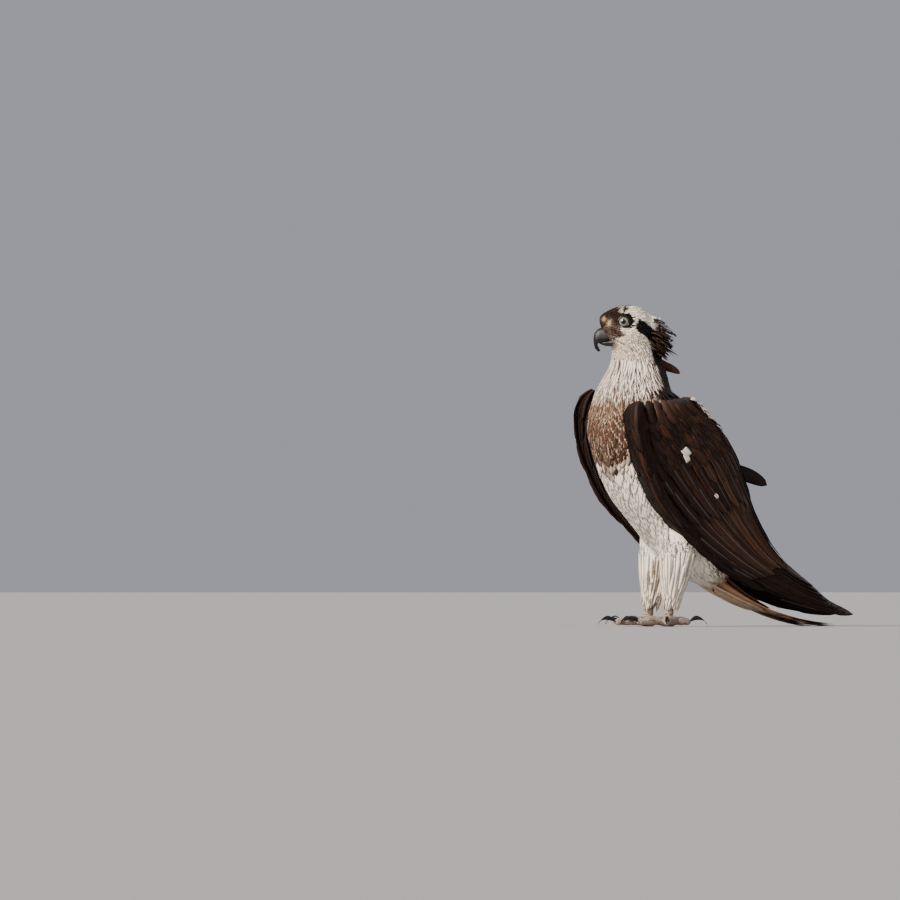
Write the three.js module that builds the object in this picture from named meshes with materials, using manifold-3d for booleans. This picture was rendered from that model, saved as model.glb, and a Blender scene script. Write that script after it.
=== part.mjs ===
// An osprey standing at rest, life size, in millimetres: +Z up, breast towards -Y, left side at +X.
import * as THREE from "three";
import { mergeVertices } from "three/addons/utils/BufferGeometryUtils.js";
import Module from "manifold-3d";

const wasm = await Module();
wasm.setup();

// Driving sizes
const gap = 0.35; // clear space between two parts that touch
const headTurn = 26; // degrees that the head looks to the bird's right
const skullCentre = [-4, -44.3, 387];
const neckCutHeight = 318; // torso below, neck above
const headCutHeight = 352; // neck below, head above
const wingLean = 13; // how much further forward the right wing hangs than the left
const wingRaise = 18; // and how much higher its shoulder is held
const legX = 27; // half the distance between the legs
const legY = 8;
const footY = -2;
const thighBottom = 52;
const ankleHeight = 13;
const toeSole = 5.2; // height of a toe's centre line above the floor
const toeRadius = 6.4;
const tailRoot = [0, 66, 68.2];
const tailLength = 206;
const featherCamber = 0.006; // droop of a vane's edges for each square millimetre of half width

// Small numbers
const deg = Math.PI / 180;
const mix = (a, b, t) => a + (b - a) * t;
const clamp = (x, lo = 0, hi = 1) => Math.min(hi, Math.max(lo, x));
const sign = { left: 1, right: -1 };

// A smooth function through rows of [key, value, value, ...].
function track(rows) {
  return (x) => {
    let i = 0;
    while (i < rows.length - 2 && x > rows[i + 1][0]) i++;
    const p = rows[Math.max(i - 1, 0)];
    const a = rows[i];
    const b = rows[i + 1];
    const n = rows[Math.min(i + 2, rows.length - 1)];
    const span = b[0] - a[0];
    const t = clamp((x - a[0]) / span);
    return a.slice(1).map((value, k) => {
      const end = b[k + 1];
      const before = a === p ? (end - value) / span : (end - p[k + 1]) / (b[0] - p[0]);
      const after = b === n ? (end - value) / span : (n[k + 1] - value) / (n[0] - a[0]);
      const t2 = t * t;
      const t3 = t2 * t;
      return (
        (2 * t3 - 3 * t2 + 1) * value +
        (t3 - 2 * t2 + t) * before * span +
        (3 * t2 - 2 * t3) * end +
        (t3 - t2) * after * span
      );
    });
  };
}

// Solids in and out of the boolean library
function solidOf(geometry) {
  const bare = geometry.clone();
  bare.deleteAttribute("normal");
  bare.deleteAttribute("uv");
  const merged = mergeVertices(bare, 1e-3);
  const solid = new wasm.Manifold(
    new wasm.Mesh({
      numProp: 3,
      vertProperties: merged.attributes.position.array,
      triVerts: new Uint32Array(merged.index.array),
    }),
  );
  return solid;
}

function largest(solid) {
  return solid.decompose().reduce((a, b) => (a.volume() > b.volume() ? a : b));
}

const join = (pieces) => pieces.reduce((a, b) => a.add(b));

function geometryOf(solid) {
  const mesh = solid.getMesh();
  const place = new Float32Array(mesh.numVert * 3);
  for (let i = 0; i < mesh.numVert; i++)
    place.set(mesh.vertProperties.subarray(i * mesh.numProp, i * mesh.numProp + 3), i * 3);
  return new THREE.BufferGeometry()
    .setAttribute("position", new THREE.BufferAttribute(place, 3))
    .setIndex(new THREE.BufferAttribute(mesh.triVerts, 1));
}

// A closed tube: place(u, angle) gives the surface, u runs 0 to 1 from pole to pole.
function tube(place, around, along) {
  const ball = new THREE.SphereGeometry(1, around, along);
  const at = ball.attributes.position;
  const uv = ball.attributes.uv;
  for (let i = 0; i < at.count; i++) {
    const row = Math.round((1 - uv.getY(i)) * along);
    const column = Math.floor(i % (around + 1)) % around;
    const pole = row === 0 || row === along;
    const p = place(row / along, pole ? 0 : (column / around) * 2 * Math.PI);
    at.setXYZ(i, p[0], p[1], p[2]);
  }
  const solid = solidOf(ball);
  return solid.volume() < 0 ? solidOf(flipped(ball)) : solid;
}

function flipped(geometry) {
  const turned = geometry.clone();
  const index = turned.index.array;
  for (let i = 0; i < index.length; i += 3) [index[i], index[i + 1]] = [index[i + 1], index[i]];
  return turned;
}

// A thin closed sheet with the same diagonals on both faces: place(s, k, h) has s 0 to 1 along it,
// k -1 to 1 across it and h -0.5 to 0.5 through it.
function sheet(place, columns, rows) {
  const plane = new THREE.PlaneGeometry(1, 1, columns, rows);
  const uv = plane.attributes.uv;
  const count = uv.count;
  const points = [0.5, -0.5].flatMap((h) =>
    Array.from({ length: count }, (_, i) => place(1 - uv.getY(i), uv.getX(i) * 2 - 1, h)),
  );
  const top = [...plane.index.array];
  const index = [...top, ...top.map((_, i) => top[i - (i % 3) + 2 - (i % 3)] + count)];
  const last = rows * (columns + 1);
  const rim = [
    ...Array.from({ length: rows }, (_, i) => i * (columns + 1)),
    ...Array.from({ length: columns }, (_, i) => last + i),
    ...Array.from({ length: rows }, (_, i) => last + columns - i * (columns + 1)),
    ...Array.from({ length: columns }, (_, i) => columns - i),
  ];
  rim.forEach((a, i) => {
    const b = rim[(i + 1) % rim.length];
    index.push(b, a, a + count, b, a + count, b + count);
  });
  const shape = new THREE.BufferGeometry().setFromPoints(points).setIndex(index);
  const solid = solidOf(shape);
  return solid.volume() < 0 ? solidOf(flipped(shape)) : solid;
}

// One feather that follows a curved face, from a sunk root to a tip that stands clear of it.
// face(a, b) gives a point and its outward normal; lane(k) gives root a, b and tip a, b for k across.
function vane(face, lane, { lift = 3, roll = 0.5, rows = 4, point = 0.35, base = 0.4 } = {}) {
  const place = (s, k, h) => {
    const end = mix(1, point, clamp((s - 0.7) / 0.3) ** 1.8);
    const [a, b, c, d] = lane(k * end);
    const droop = s < 1 ? 0 : 0.012 * k * k;
    const { at, normal } = face(mix(a, c, s - droop), mix(b, d, s));
    const rise = s < 0.25 ? mix(-2.2, base, s / 0.25) : mix(base, lift, (s - 0.25) / 0.75);
    return at.addScaledVector(normal, rise + roll * k * Math.min(s * 3, 1) + h * mix(1.2, 0.7, s));
  };
  return sheet(place, 2, rows);
}

// A pointed tuft, from a thick root to a tip, bowed by sag at its middle.
function lock(root, tip, radius, sag) {
  const a = new THREE.Vector3(...root);
  const b = new THREE.Vector3(...tip);
  const middle = a.clone().lerp(b, 0.5).add(new THREE.Vector3(...sag));
  const curve = new THREE.QuadraticBezierCurve3(a, middle, b);
  const place = (u, angle) => {
    const way = curve.getTangent(u);
    const side = new THREE.Vector3(0, 0, 1).cross(way).normalize();
    const up = way.clone().cross(side);
    const thick = u === 0 || u === 1 ? 0 : radius * mix(1.25, 0.15, u);
    return curve
      .getPoint(u)
      .addScaledVector(side, thick * Math.cos(angle))
      .addScaledVector(up, thick * 0.42 * Math.sin(angle))
      .toArray();
  };
  return tube(place, 5, 5);
}

// Repeatable small differences between feathers
function chance(seed) {
  const x = Math.sin(seed * 127.1 + 31.7) * 43758.5453;
  return x - Math.floor(x);
}

function box(low, high) {
  const size = high.map((h, k) => h - low[k]);
  const middle = high.map((h, k) => (h + low[k]) / 2);
  return solidOf(new THREE.BoxGeometry(...size).translate(...middle));
}

const floorBlock = box([-400, -400, -200], [400, 500, 0]);

// The trunk, from the rump to the crown, as level rings.
// height: middle Y, half width, depth to the front, depth to the back
const trunkRings = track([
  [44, 84, 3, 3, 3],
  [50, 80, 17, 19, 19],
  [62, 69, 30, 36, 33],
  [84, 54, 42, 52, 54],
  [112, 40, 48, 64, 68],
  [136, 27, 54, 72, 78],
  [162, 12, 59, 80, 90],
  [190, 0, 62, 84, 96],
  [215, -8, 64, 85, 97],
  [240, -20, 65, 81, 95],
  [264, -31, 65, 72, 82],
  [285, -34, 62, 63, 62],
  [306, -37, 54, 54, 48],
  [327, -34, 42, 45, 43],
  [344, -34, 35, 36, 36],
  [366, -36, 30, 32, 33],
  [392, -40, 22, 24, 24],
  [404, -42, 3, 3, 3],
]);
const trunkLow = 44;
const trunkHigh = 404;

function trunk(grow) {
  const place = (u, angle) => {
    const even = u * u * (3 - 2 * u) * 0.25 + u * 0.75;
    const z = mix(trunkLow, trunkHigh, even);
    const [middle, width, front, back] = trunkRings(z);
    const c = Math.cos(angle);
    const s = Math.sin(angle);
    if (u === 0 || u === 1) return [0, middle, z + (u ? grow : -grow)];
    const side = (width + grow) * c * (1 - 0.14 * Math.max(s, 0));
    return [side, middle + ((s < 0 ? front : back) + grow) * s, z];
  };
  return tube(place, 24, 24);
}

// The head: rings across the line of sight. along, height, half height, half width, lean in degrees
const headRings = track([
  [0, -38, -5, 0, 0, -10],
  [0.1, -34, -5, 13, 12, -10],
  [0.24, -24, -3, 23, 20, -5],
  [0.42, -10, 0, 30, 24.5, 0],
  [0.58, 4, 0, 30.5, 25, 5],
  [0.72, 16, 0, 27, 21.5, 12],
  [0.84, 25, 0.5, 22, 17, 13],
  [0.92, 32, 2.5, 16.5, 13, 14],
  [0.97, 36.6, 4.5, 10, 9, 14],
  [1, 38.4, 5.5, 0, 0, 14],
]);

// From the head's own frame (forward, to its left, up) to the bird's.
function fromHead([forward, left, up]) {
  const s = Math.sin(headTurn * deg);
  const c = Math.cos(headTurn * deg);
  return [
    skullCentre[0] - forward * s + left * c,
    skullCentre[1] - forward * c - left * s,
    skullCentre[2] + up,
  ];
}

function skull(grow) {
  const place = (u, angle) => {
    const [along, up, tall, wide, lean] = headRings(u);
    const high = tall + (u > 0 && u < 1 ? grow : 0);
    const c = Math.cos(angle) * (wide + grow);
    const s = Math.sin(angle) * high;
    const end = u === 0 ? -grow : u === 1 ? grow : 0;
    return fromHead([along + s * Math.sin(lean * deg) + end, c, up + s * Math.cos(lean * deg)]);
  };
  return tube(place, 18, 12);
}

// The bill: a culmen line over the mouth line, and a shorter lower half below it.
// along: forward, height of the ridge, height of the cutting edge, half width at the edge
const upperBill = track([
  [0, 10, -5, -10, 0],
  [0.15, 14, 0, -13, 8.8],
  [0.4, 25, 2.5, -16, 8.6],
  [0.6, 33.5, 2, -18, 7.4],
  [0.75, 40, -2, -19, 5.6],
  [0.87, 43.8, -10, -21.5, 3.6],
  [0.95, 43, -19, -26.5, 1.9],
  [1, 39.6, -30, -30.6, 0],
]);
const lowerBill = track([
  [0, 12, -16, -20, 0],
  [0.2, 16, -14, -23, 7.4],
  [0.6, 26, -16, -24.2, 6.4],
  [0.85, 33.5, -18.4, -23, 4],
  [1, 36.6, -20.2, -20.8, 0],
]);

function billUpper(grow) {
  const place = (u, angle) => {
    const [forward, ridge, edge, half] = upperBill(u);
    const c = Math.cos(angle);
    const s = Math.sin(angle);
    const middle = mix(edge, ridge, 0.3);
    const up = s > 0 ? middle + (ridge - middle + grow) * s : middle - (middle - edge + grow) * -s;
    const hook = clamp((u - 0.7) / 0.3) * 3 * s;
    if (u === 0) return fromHead([forward - grow * 1.5, 0, middle]);
    return fromHead([forward + hook, (half + grow) * c, up]);
  };
  return tube(place, 10, 12);
}

function billLower(grow) {
  const place = (u, angle) => {
    const [forward, top, bottom, half] = lowerBill(u);
    const middle = (top + bottom) / 2;
    const tall = (top - bottom) / 2;
    const end = u === 0 ? -grow * 1.5 : u === 1 ? grow : 0;
    return fromHead([
      forward + end,
      (half + grow) * Math.cos(angle),
      middle + (tall + grow) * Math.sin(angle),
    ]);
  };
  return tube(place, 10, 7);
}

function eyeball(side, grow) {
  const at = fromHead([7.4, sign[side] * 15.4, 8.6]);
  const ball = new THREE.IcosahedronGeometry(9.2 + grow, 3).translate(...at);
  return solidOf(ball);
}

// A ring of bare skin round each eye, and the brow above it
function lids(side) {
  const out = [0.47, sign[side] * 0.88, 0.06];
  const turned = new THREE.Vector3(...fromHead(out)).sub(new THREE.Vector3(...fromHead([0, 0, 0])));
  const spin = new THREE.Quaternion().setFromUnitVectors(
    new THREE.Vector3(0, 0, 1),
    turned.normalize(),
  );
  const centre = new THREE.Vector3(...fromHead([7.4, sign[side] * 15.4, 8.6]));
  const ring = new THREE.TorusGeometry(8.3, 1.5, 6, 16)
    .applyQuaternion(spin)
    .translate(...centre.clone().addScaledVector(turned, 4.6));
  const brow = tube(
    (u, angle) => {
      const thick = Math.sin(u * Math.PI) * 2.6;
      return fromHead([
        mix(-6, 24, u),
        sign[side] * (mix(21.5, 13.5, u) + thick * Math.cos(angle)),
        mix(19.5, 13.5, u) + thick * Math.sin(angle),
      ]);
    },
    6,
    6,
  );
  return solidOf(ring).add(brow);
}

function nostril(side) {
  const hole = new THREE.SphereGeometry(1, 8, 6).scale(2.2, 3, 1);
  const solid = solidOf(hole.rotateY(-25 * deg).rotateZ(-(headTurn + 90) * deg));
  return solid.translate(fromHead([30, sign[side] * 7.2, -4.5]));
}

// Pointed feathers that stand off the nape. root and tip in the head's own frame
const crest = [
  [[-24, 0, 16], [-46, 0, 11]],
  [[-28, 8, 8], [-52, 9, 3]],
  [[-29, -8, 6], [-54, -10, 0]],
  [[-33, 0, 0], [-63, 1, -10]],
  [[-30, 11, -6], [-57, 13, -16]],
  [[-31, -11, -8], [-55, -14, -20]],
  [[-33, 4, -14], [-60, 5, -28]],
  [[-32, -5, -20], [-57, -6, -33]],
  [[-27, 16, -16], [-48, 19, -30]],
  [[-27, -16, -18], [-47, -20, -33]],
  [[-31, 9, -24], [-53, 11, -38]],
];

const crestLocks = () =>
  crest.map(([root, tip]) => lock(fromHead(root), fromHead(tip), 6.6, [0, 0, 2.5]));

// The wing lies along two lines, from the shoulder to the tips. share: X, Y, Z
const lowerLine = track([
  [0, 62, -62, 297],
  [0.06, 73, -73, 277],
  [0.15, 77, -70, 240],
  [0.26, 73, -49, 190],
  [0.38, 64, -14, 143],
  [0.5, 55, 33, 103],
  [0.64, 46, 97, 64],
  [0.8, 38, 178, 33],
  [0.92, 30, 237, 18],
  [1, 22, 276, 13],
]);
const upperLine = track([
  [0, 46, 12, 300],
  [0.06, 30, 34, 288],
  [0.15, 14, 66, 265],
  [0.26, 5, 98, 232],
  [0.38, 2, 118, 190],
  [0.5, 3, 134, 146],
  [0.64, 6, 160, 101],
  [0.8, 9, 205, 58],
  [0.92, 12, 247, 31],
  [1, 15, 278, 17],
]);
// depth of the wing's body inward: thick over the trunk, a thin stack of quills past it
const wingDepth = track([
  [0, 30],
  [0.3, 46],
  [0.5, 26],
  [0.66, 10],
  [0.85, 5],
  [1, 2],
]);

// A point of the wing's outer face: u runs from shoulder to tip, turn in degrees from the lower edge
// to the back.
function wingFace(side, u, turn, sink = 0) {
  const low = lowerLine(u);
  const high = upperLine(u);
  const far = side === "right" ? 1 : 0;
  const lean = -wingLean * far * Math.sin(clamp(u / 0.9) * Math.PI);
  const raise = wingRaise * far * (1 - clamp(u / 0.55)) ** 1.5;
  const c = Math.cos(turn * deg);
  const s = Math.sin(turn * deg);
  const span = Math.hypot(high[1] - low[1], high[2] - low[2]);
  const e = (turn < 0 ? 0.05 * s : s) * (1 - sink / span);
  const x = high[0] + Math.max(0, low[0] - high[0] - sink) * c;
  return [
    sign[side] * Math.max(x, 0.6),
    mix(low[1], high[1], e) + lean,
    mix(low[2], high[2], e) + raise,
  ];
}

// The same face as a point and its outward normal, for feathers to lie on
function wingSkin(side) {
  return (u, turn) => {
    const at = (a, b) => new THREE.Vector3(...wingFace(side, a, b));
    const along = at(u + 0.01, turn).sub(at(u - 0.01, turn));
    const round = at(u, turn + 2).sub(at(u, turn - 2));
    const normal = along.cross(round).normalize().multiplyScalar(sign[side]);
    return { at: at(u, turn), normal };
  };
}

// Rows of feathers on a wing. count, then for the first and the last feather: root share, root turn,
// tip share, tip turn; then how far the tips stand out
const wingTiers = [
  [8, [0.33, -6, 0.66, 5], [0.33, 66, 0.74, 70], 3.4],
  [3, [0.3, 70, 0.7, 74], [0.27, 87, 0.58, 88], 4.2],
  [8, [0.2, -8, 0.42, -3], [0.2, 82, 0.46, 86], 3.2],
];
const primaryCount = 6;

function wingFeathers(side) {
  const skin = wingSkin(side);
  const roll = 0.5 * sign[side];
  const tiers = wingTiers.flatMap(([count, first, last, lift], tier) =>
    Array.from({ length: count }, (_, i) => {
      const shake = (chance(tier * 40 + i + (side === "left" ? 0 : 400)) - 0.5) * 0.02;
      const lane = (k) => {
        const share = (i + 0.475 * k) / (count - 1);
        const [a, b, c, d] = first.map((value, j) => mix(value, last[j], share));
        return [a, b, c + shake, d];
      };
      return vane(skin, lane, { lift, roll, rows: 3 });
    }),
  );
  const primaries = Array.from({ length: primaryCount }, (_, i) => {
    const share = i / (primaryCount - 1);
    const lane = (k) => [
      mix(0.5, 0.53, share),
      mix(4, 50, share) + 4.4 * k,
      mix(1, 0.84, share),
      mix(28, 62, share) + 26 * k,
    ];
    return vane(skin, lane, { lift: 1 + 1.15 * i, base: 0.4, roll: 0, rows: 5, point: 0.5 });
  });
  return side === "left" ? [...primaries, ...tiers, strayFeather()] : [...primaries, ...tiers];
}

// One tertial stands off the left side of the back.
function strayFeather() {
  const face = (along, across) => ({
    at: new THREE.Vector3(mix(6, 14, along), mix(88, 151, along), mix(213, 184, along) + across),
    normal: new THREE.Vector3(0.9, -0.43, 0),
  });
  const lane = (k) => [0, 9 * k, 1, 10 * k];
  return vane(face, lane, { lift: 1, base: 0.5, roll: 0, rows: 5, point: 0.3 });
}

const wingCoreEnd = 0.87;
function wingCore(side) {
  const edge = (u) => -50 * clamp(1.3 - u * 1.5);
  const place = (u, angle) => {
    const along = mix(0.0, wingCoreEnd, u);
    const round = Math.sin(clamp(u / 0.08) * 90 * deg) * Math.sin(clamp((1 - u) / 0.1) * 90 * deg);
    const half = angle / Math.PI;
    const outer = half <= 1;
    const share = outer ? half : 2 - half;
    const turn = mix(edge(along), 90, share);
    const depth = wingDepth(along)[0];
    const full = wingFace(side, along, turn, outer ? 0 : depth);
    const heart = wingFace(side, along, 45, depth * 0.5);
    return full.map((value, k) => mix(heart[k], value, round));
  };
  return tube(place, 14, 13);
}

// The tail's middle line bends from the rump down to the floor.
const tailSlope = [36, 2.5];
function tailLine(share) {
  const [start, end] = tailSlope;
  const bend = tailLength / ((start - end) * deg);
  const now = mix(start, end, share) * deg;
  return [
    tailRoot[1] + bend * (Math.sin(start * deg) - Math.sin(now)),
    tailRoot[2] - bend * (Math.cos(now) - Math.cos(start * deg)),
    now,
  ];
}

const tailCoreEnd = 0.7;

function tailSkin(x, share) {
  const [y, z, slope] = tailLine(share);
  const normal = new THREE.Vector3(0, Math.sin(slope), Math.cos(slope));
  const droop = featherCamber * 0.5 * x * x;
  return { at: new THREE.Vector3(x, y, z - droop), normal };
}

// Steering feathers fan out from the rump, the middle pair on top; short coverts lie on their roots.
function tailFeathers() {
  const pair = (i, root, tip, half, share, options) =>
    [-1, 1].map((hand) => {
      const late = (chance(i * 2 + hand) - 0.5) * 0.012;
      const lane = (k) => [
        hand * root + half * 0.6 * k,
        share[0],
        hand * tip + half * k,
        share[1] + late,
      ];
      return vane(tailSkin, lane, { roll: 0.3 * hand, point: 0.55, ...options });
    });
  const steering = [4, 11, 18, 24.5].flatMap((x, i) =>
    pair(i, x * 0.5, x, 7.5, [0.2, 0.99 - i * 0.006], {
      lift: 2.6 - 1.25 * i,
      base: 1.6 - 0.7 * i,
      rows: 5,
    }),
  );
  const coverts = [5, 15].flatMap((x, i) =>
    pair(i + 5, x * 0.7, x, 6, [0.1, 0.48 - i * 0.05], { lift: 4.6 - i, base: 1.2, rows: 4 }),
  );
  return [...steering, ...coverts];
}

function tailCore(grow = 0) {
  const place = (v, angle) => {
    const u = v * tailCoreEnd;
    const [y, z, slope] = tailLine(u);
    const round = Math.sin(clamp(v / 0.1) * 90 * deg) * Math.sin(clamp((1 - v) / 0.1) * 90 * deg);
    const wide = mix(20, 32, u) * round + grow;
    const thick = mix(11, 1.2, clamp(v * 1.2)) * round + grow;
    const c = Math.cos(angle);
    const s = Math.sin(angle);
    const droop = featherCamber * 0.5 * (wide * c) ** 2;
    return [
      wide * c,
      y + thick * s * Math.sin(slope),
      z + thick * s * Math.cos(slope) - droop,
    ];
  };
  return tube(place, 16, 12);
}

const tailWhole = () => join([tailCore(), ...tailFeathers()]);

// The legs. height: half width, depth, how far the middle stands behind the foot
const thighRings = track([
  [50, 10, 11, 0],
  [58, 14, 15, 0],
  [72, 19, 21, 1],
  [95, 25, 28, 4],
  [125, 28, 33, 12],
  [150, 24, 28, 22],
]);

function thigh(side, grow = 0) {
  const place = (u, angle) => {
    const z = mix(50, 150, u);
    const [wide, deep, back] = thighRings(z);
    const round = u === 0 || u === 1 ? 0 : 1;
    return [
      sign[side] * legX + (wide + grow) * Math.cos(angle) * round,
      legY + back + (deep + grow) * Math.sin(angle) * round,
      z,
    ];
  };
  return tube(place, 14, 8);
}

function shank(side) {
  const rows = track([
    [0, 7.6, 0],
    [0.25, 6.2, 0],
    [0.6, 6, 3],
    [1, 8, legY - footY],
  ]);
  const place = (u, angle) => {
    const [radius, back] = rows(u);
    const round = u === 0 || u === 1 ? 0 : 1;
    return [
      sign[side] * legX + radius * 0.9 * Math.cos(angle) * round,
      footY + back + radius * Math.sin(angle) * round,
      mix(ankleHeight - 4, thighBottom + 8, u),
    ];
  };
  return tube(place, 10, 7);
}

// Toes: heading in degrees from straight ahead to the bird's outer side, and length
const toes = {
  inner: [-24, 40],
  middle: [4, 52],
  outer: [58, 44],
  hind: [176, 32],
};
const clawArc = 115; // degrees that a claw curves through
const clawLength = 30;

function toeFrame(side, name) {
  const [heading, length] = toes[name];
  const way = [sign[side] * Math.sin(heading * deg), -Math.cos(heading * deg)];
  const root = [sign[side] * legX, footY];
  return { way, root, length, across: [-way[1], way[0]] };
}

function toe(side, name, grow = 0) {
  const { way, root, length, across } = toeFrame(side, name);
  const place = (u, angle) => {
    const bump = 1 + 0.13 * Math.sin(u * 2 * Math.PI * 2.5 - 1);
    const radius = u === 0 || u === 1 ? 0 : mix(toeRadius, 4.6, u) * bump + grow;
    const run = length * u + (u === 1 ? grow : 0);
    const side2 = radius * Math.cos(angle);
    const arch = 3.2 * Math.sin(u * Math.PI) + 3 * (1 - u);
    return [
      root[0] + way[0] * run + across[0] * side2,
      root[1] + way[1] * run + across[1] * side2,
      toeSole + arch * 0.5 + radius * Math.sin(angle),
    ];
  };
  return tube(place, 8, 7);
}

function claw(side, name) {
  const { way, root, length, across } = toeFrame(side, name);
  const bend = clawLength / (clawArc * deg);
  const start = length - 4;
  const rise = 6.4;
  const lift = 48; // degrees above level at which a claw leaves its toe
  const place = (u, angle) => {
    const now = (lift - clawArc * u) * deg;
    const run = start + bend * (Math.sin(lift * deg) - Math.sin(now));
    const up = rise - bend * (Math.cos(lift * deg) - Math.cos(now));
    const radius = u === 0 ? 0 : mix(3.6, 0.3, u ** 1.2) * (u === 1 ? 0 : 1);
    const out = radius * Math.sin(angle);
    const side2 = radius * 0.8 * Math.cos(angle);
    return [
      root[0] + way[0] * (run + out * Math.sin(now)) + across[0] * side2,
      root[1] + way[1] * (run + out * Math.sin(now)) + across[1] * side2,
      up + out * Math.cos(now),
    ];
  };
  return tube(place, 8, 12);
}

function foot(side) {
  const palm = solidOf(
    new THREE.SphereGeometry(10, 12, 8)
      .scale(1, 1.1, 0.85)
      .translate(sign[side] * legX, footY, 7.5),
  );
  return join([palm, ...Object.keys(toes).map((name) => toe(side, name))]);
}

// Assembly
const looks = {
  white: { color: 0xe8dccb, roughness: 0.85 },
  streaked: { color: 0xb9a58e, roughness: 0.85 },
  brown: { color: 0x2e221b, roughness: 0.75 },
  bill: { color: 0x1d2126, roughness: 0.35 },
  eye: { color: 0xcfc388, roughness: 0.1 },
  skin: { color: 0xc8ac92, roughness: 0.6 },
  claw: { color: 0x121416, roughness: 0.3 },
};

const bird = new THREE.Group();

function add(name, solid, look) {
  const material = new THREE.MeshStandardMaterial({ ...looks[look], metalness: 0 });
  const mesh = new THREE.Mesh(geometryOf(largest(solid)), material);
  mesh.name = name;
  bird.add(mesh);
  return mesh;
}

const slab = (height) => box([-200, -200, height - gap / 2], [200, 200, height + gap / 2]);
const below = (height) => box([-200, -250, -50], [200, 250, height]);
const above = (height) => box([-200, -250, height], [200, 250, 500]);

function heads() {
  const eyes = ["left", "right"].map((side) => eyeball(side, gap));
  const bills = [billUpper(gap), billLower(gap)];
  const rims = ["left", "right"].map(lids);
  const whole = join([trunk(0), skull(0), ...rims, ...crestLocks()]);
  const opened = [...eyes, ...bills].reduce((a, b) => a.subtract(b), whole);
  add("torso", opened.subtract(above(neckCutHeight - gap / 2)), "streaked");
  const neck = opened
    .subtract(below(neckCutHeight + gap / 2))
    .subtract(above(headCutHeight - gap / 2));
  add("neck", neck, "white");
  add("head", opened.subtract(below(headCutHeight + gap / 2)), "white");
  const holes = join(["left", "right"].map(nostril));
  add("bill_upper", billUpper(0).subtract(billLower(gap)).subtract(holes), "bill");
  add("bill_lower", billLower(0), "bill");
  for (const side of ["left", "right"]) add(`eye_${side}`, eyeball(side, 0), "eye");
}

function wings() {
  const body = join([trunk(gap), skull(gap)]);
  for (const side of ["left", "right"]) {
    const inside = join([body, thigh(side, gap), tailCore(gap)]);
    const solid = join([wingCore(side), ...wingFeathers(side)]).subtract(inside);
    add(`wing_${side}`, solid, "brown");
  }
}

function tail() {
  add("tail", tailWhole().subtract(trunk(gap)).subtract(floorBlock), "streaked");
}

function legs() {
  const body = trunk(gap);
  for (const side of ["left", "right"]) {
    const middle = box([-gap / 2, -200, -10], [gap / 2, 200, 300]);
    const leg = thigh(side).subtract(body).subtract(middle).subtract(below(thighBottom));
    add(`thigh_${side}`, leg, "white");
    const top = above(thighBottom - gap);
    const tarsus = shank(side).subtract(top).subtract(below(ankleHeight + gap));
    add(`tarsus_${side}`, tarsus, "skin");
    const claws = Object.keys(toes).map((name) => claw(side, name));
    const feet = foot(side).subtract(above(ankleHeight)).subtract(floorBlock);
    add(`foot_${side}`, feet, "skin");
    Object.keys(toes).forEach((name, i) => {
      const free = claws[i].subtract(toe(side, name, gap)).subtract(floorBlock);
      add(`claw_${side}_${name}`, free, "claw");
    });
  }
}

heads();
wings();
tail();
legs();

// The origin is below the middle of the bird, on the floor.
const bounds = new THREE.Box3().setFromObject(bird);
const middle = bounds.getCenter(new THREE.Vector3());
bird.position.set(-middle.x, -middle.y, -bounds.min.z);

export default bird;
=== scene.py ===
import itertools
import math
from types import SimpleNamespace

import bmesh
import bpy
import numpy as np
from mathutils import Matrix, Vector
from mathutils.bvhtree import BVHTree


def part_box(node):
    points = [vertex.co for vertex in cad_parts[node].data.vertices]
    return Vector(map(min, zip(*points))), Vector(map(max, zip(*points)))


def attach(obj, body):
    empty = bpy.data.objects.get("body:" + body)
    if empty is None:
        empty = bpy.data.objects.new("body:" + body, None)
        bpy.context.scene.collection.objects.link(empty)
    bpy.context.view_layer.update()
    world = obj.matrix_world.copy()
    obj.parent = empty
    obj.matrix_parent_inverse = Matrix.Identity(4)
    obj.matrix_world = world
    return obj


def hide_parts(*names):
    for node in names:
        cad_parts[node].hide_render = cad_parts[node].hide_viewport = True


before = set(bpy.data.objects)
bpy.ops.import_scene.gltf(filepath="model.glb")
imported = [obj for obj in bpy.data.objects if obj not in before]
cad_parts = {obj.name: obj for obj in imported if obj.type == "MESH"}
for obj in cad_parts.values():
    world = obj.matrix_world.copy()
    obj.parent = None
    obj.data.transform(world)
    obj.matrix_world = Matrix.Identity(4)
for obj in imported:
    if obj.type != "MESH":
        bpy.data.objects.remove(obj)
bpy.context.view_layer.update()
random = np.random.default_rng(11)

hands = {"left": 1, "right": -1}

# the bird's own frame in millimetres: up +Z, breast towards -Y, its left +X
pose = {
    "headTurn": 26,  # degrees that the head looks to its right
    "legX": 27,
    "skull": (-4.0, -44.3, 387.0),
    "eye": (7.4, 15.4, 8.6),  # forward, left and up of the skull's centre
    "eyeSeat": (6.2, 15.5, 7.9),  # where the dressed eye sits among the feathers
    "gaze": (0.2, 0.97, 0.04),
    "eyeRadius": 9.2,
}


def smooth(low, high, value):
    t = np.clip((value - low) / (high - low), 0, 1)
    return t * t * (3 - 2 * t)


def mix(a, b, t):
    return a + (b - a) * t


def unit(vectors):
    return vectors / (np.linalg.norm(vectors, axis=-1, keepdims=True) + 1e-9)


def srgb(code):
    parts = [int(code[i:i + 2], 16) / 255 for i in (1, 3, 5)]
    return np.array([p / 12.92 if p <= 0.04045 else ((p + 0.055) / 1.055) ** 2.4 for p in parts])


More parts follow.
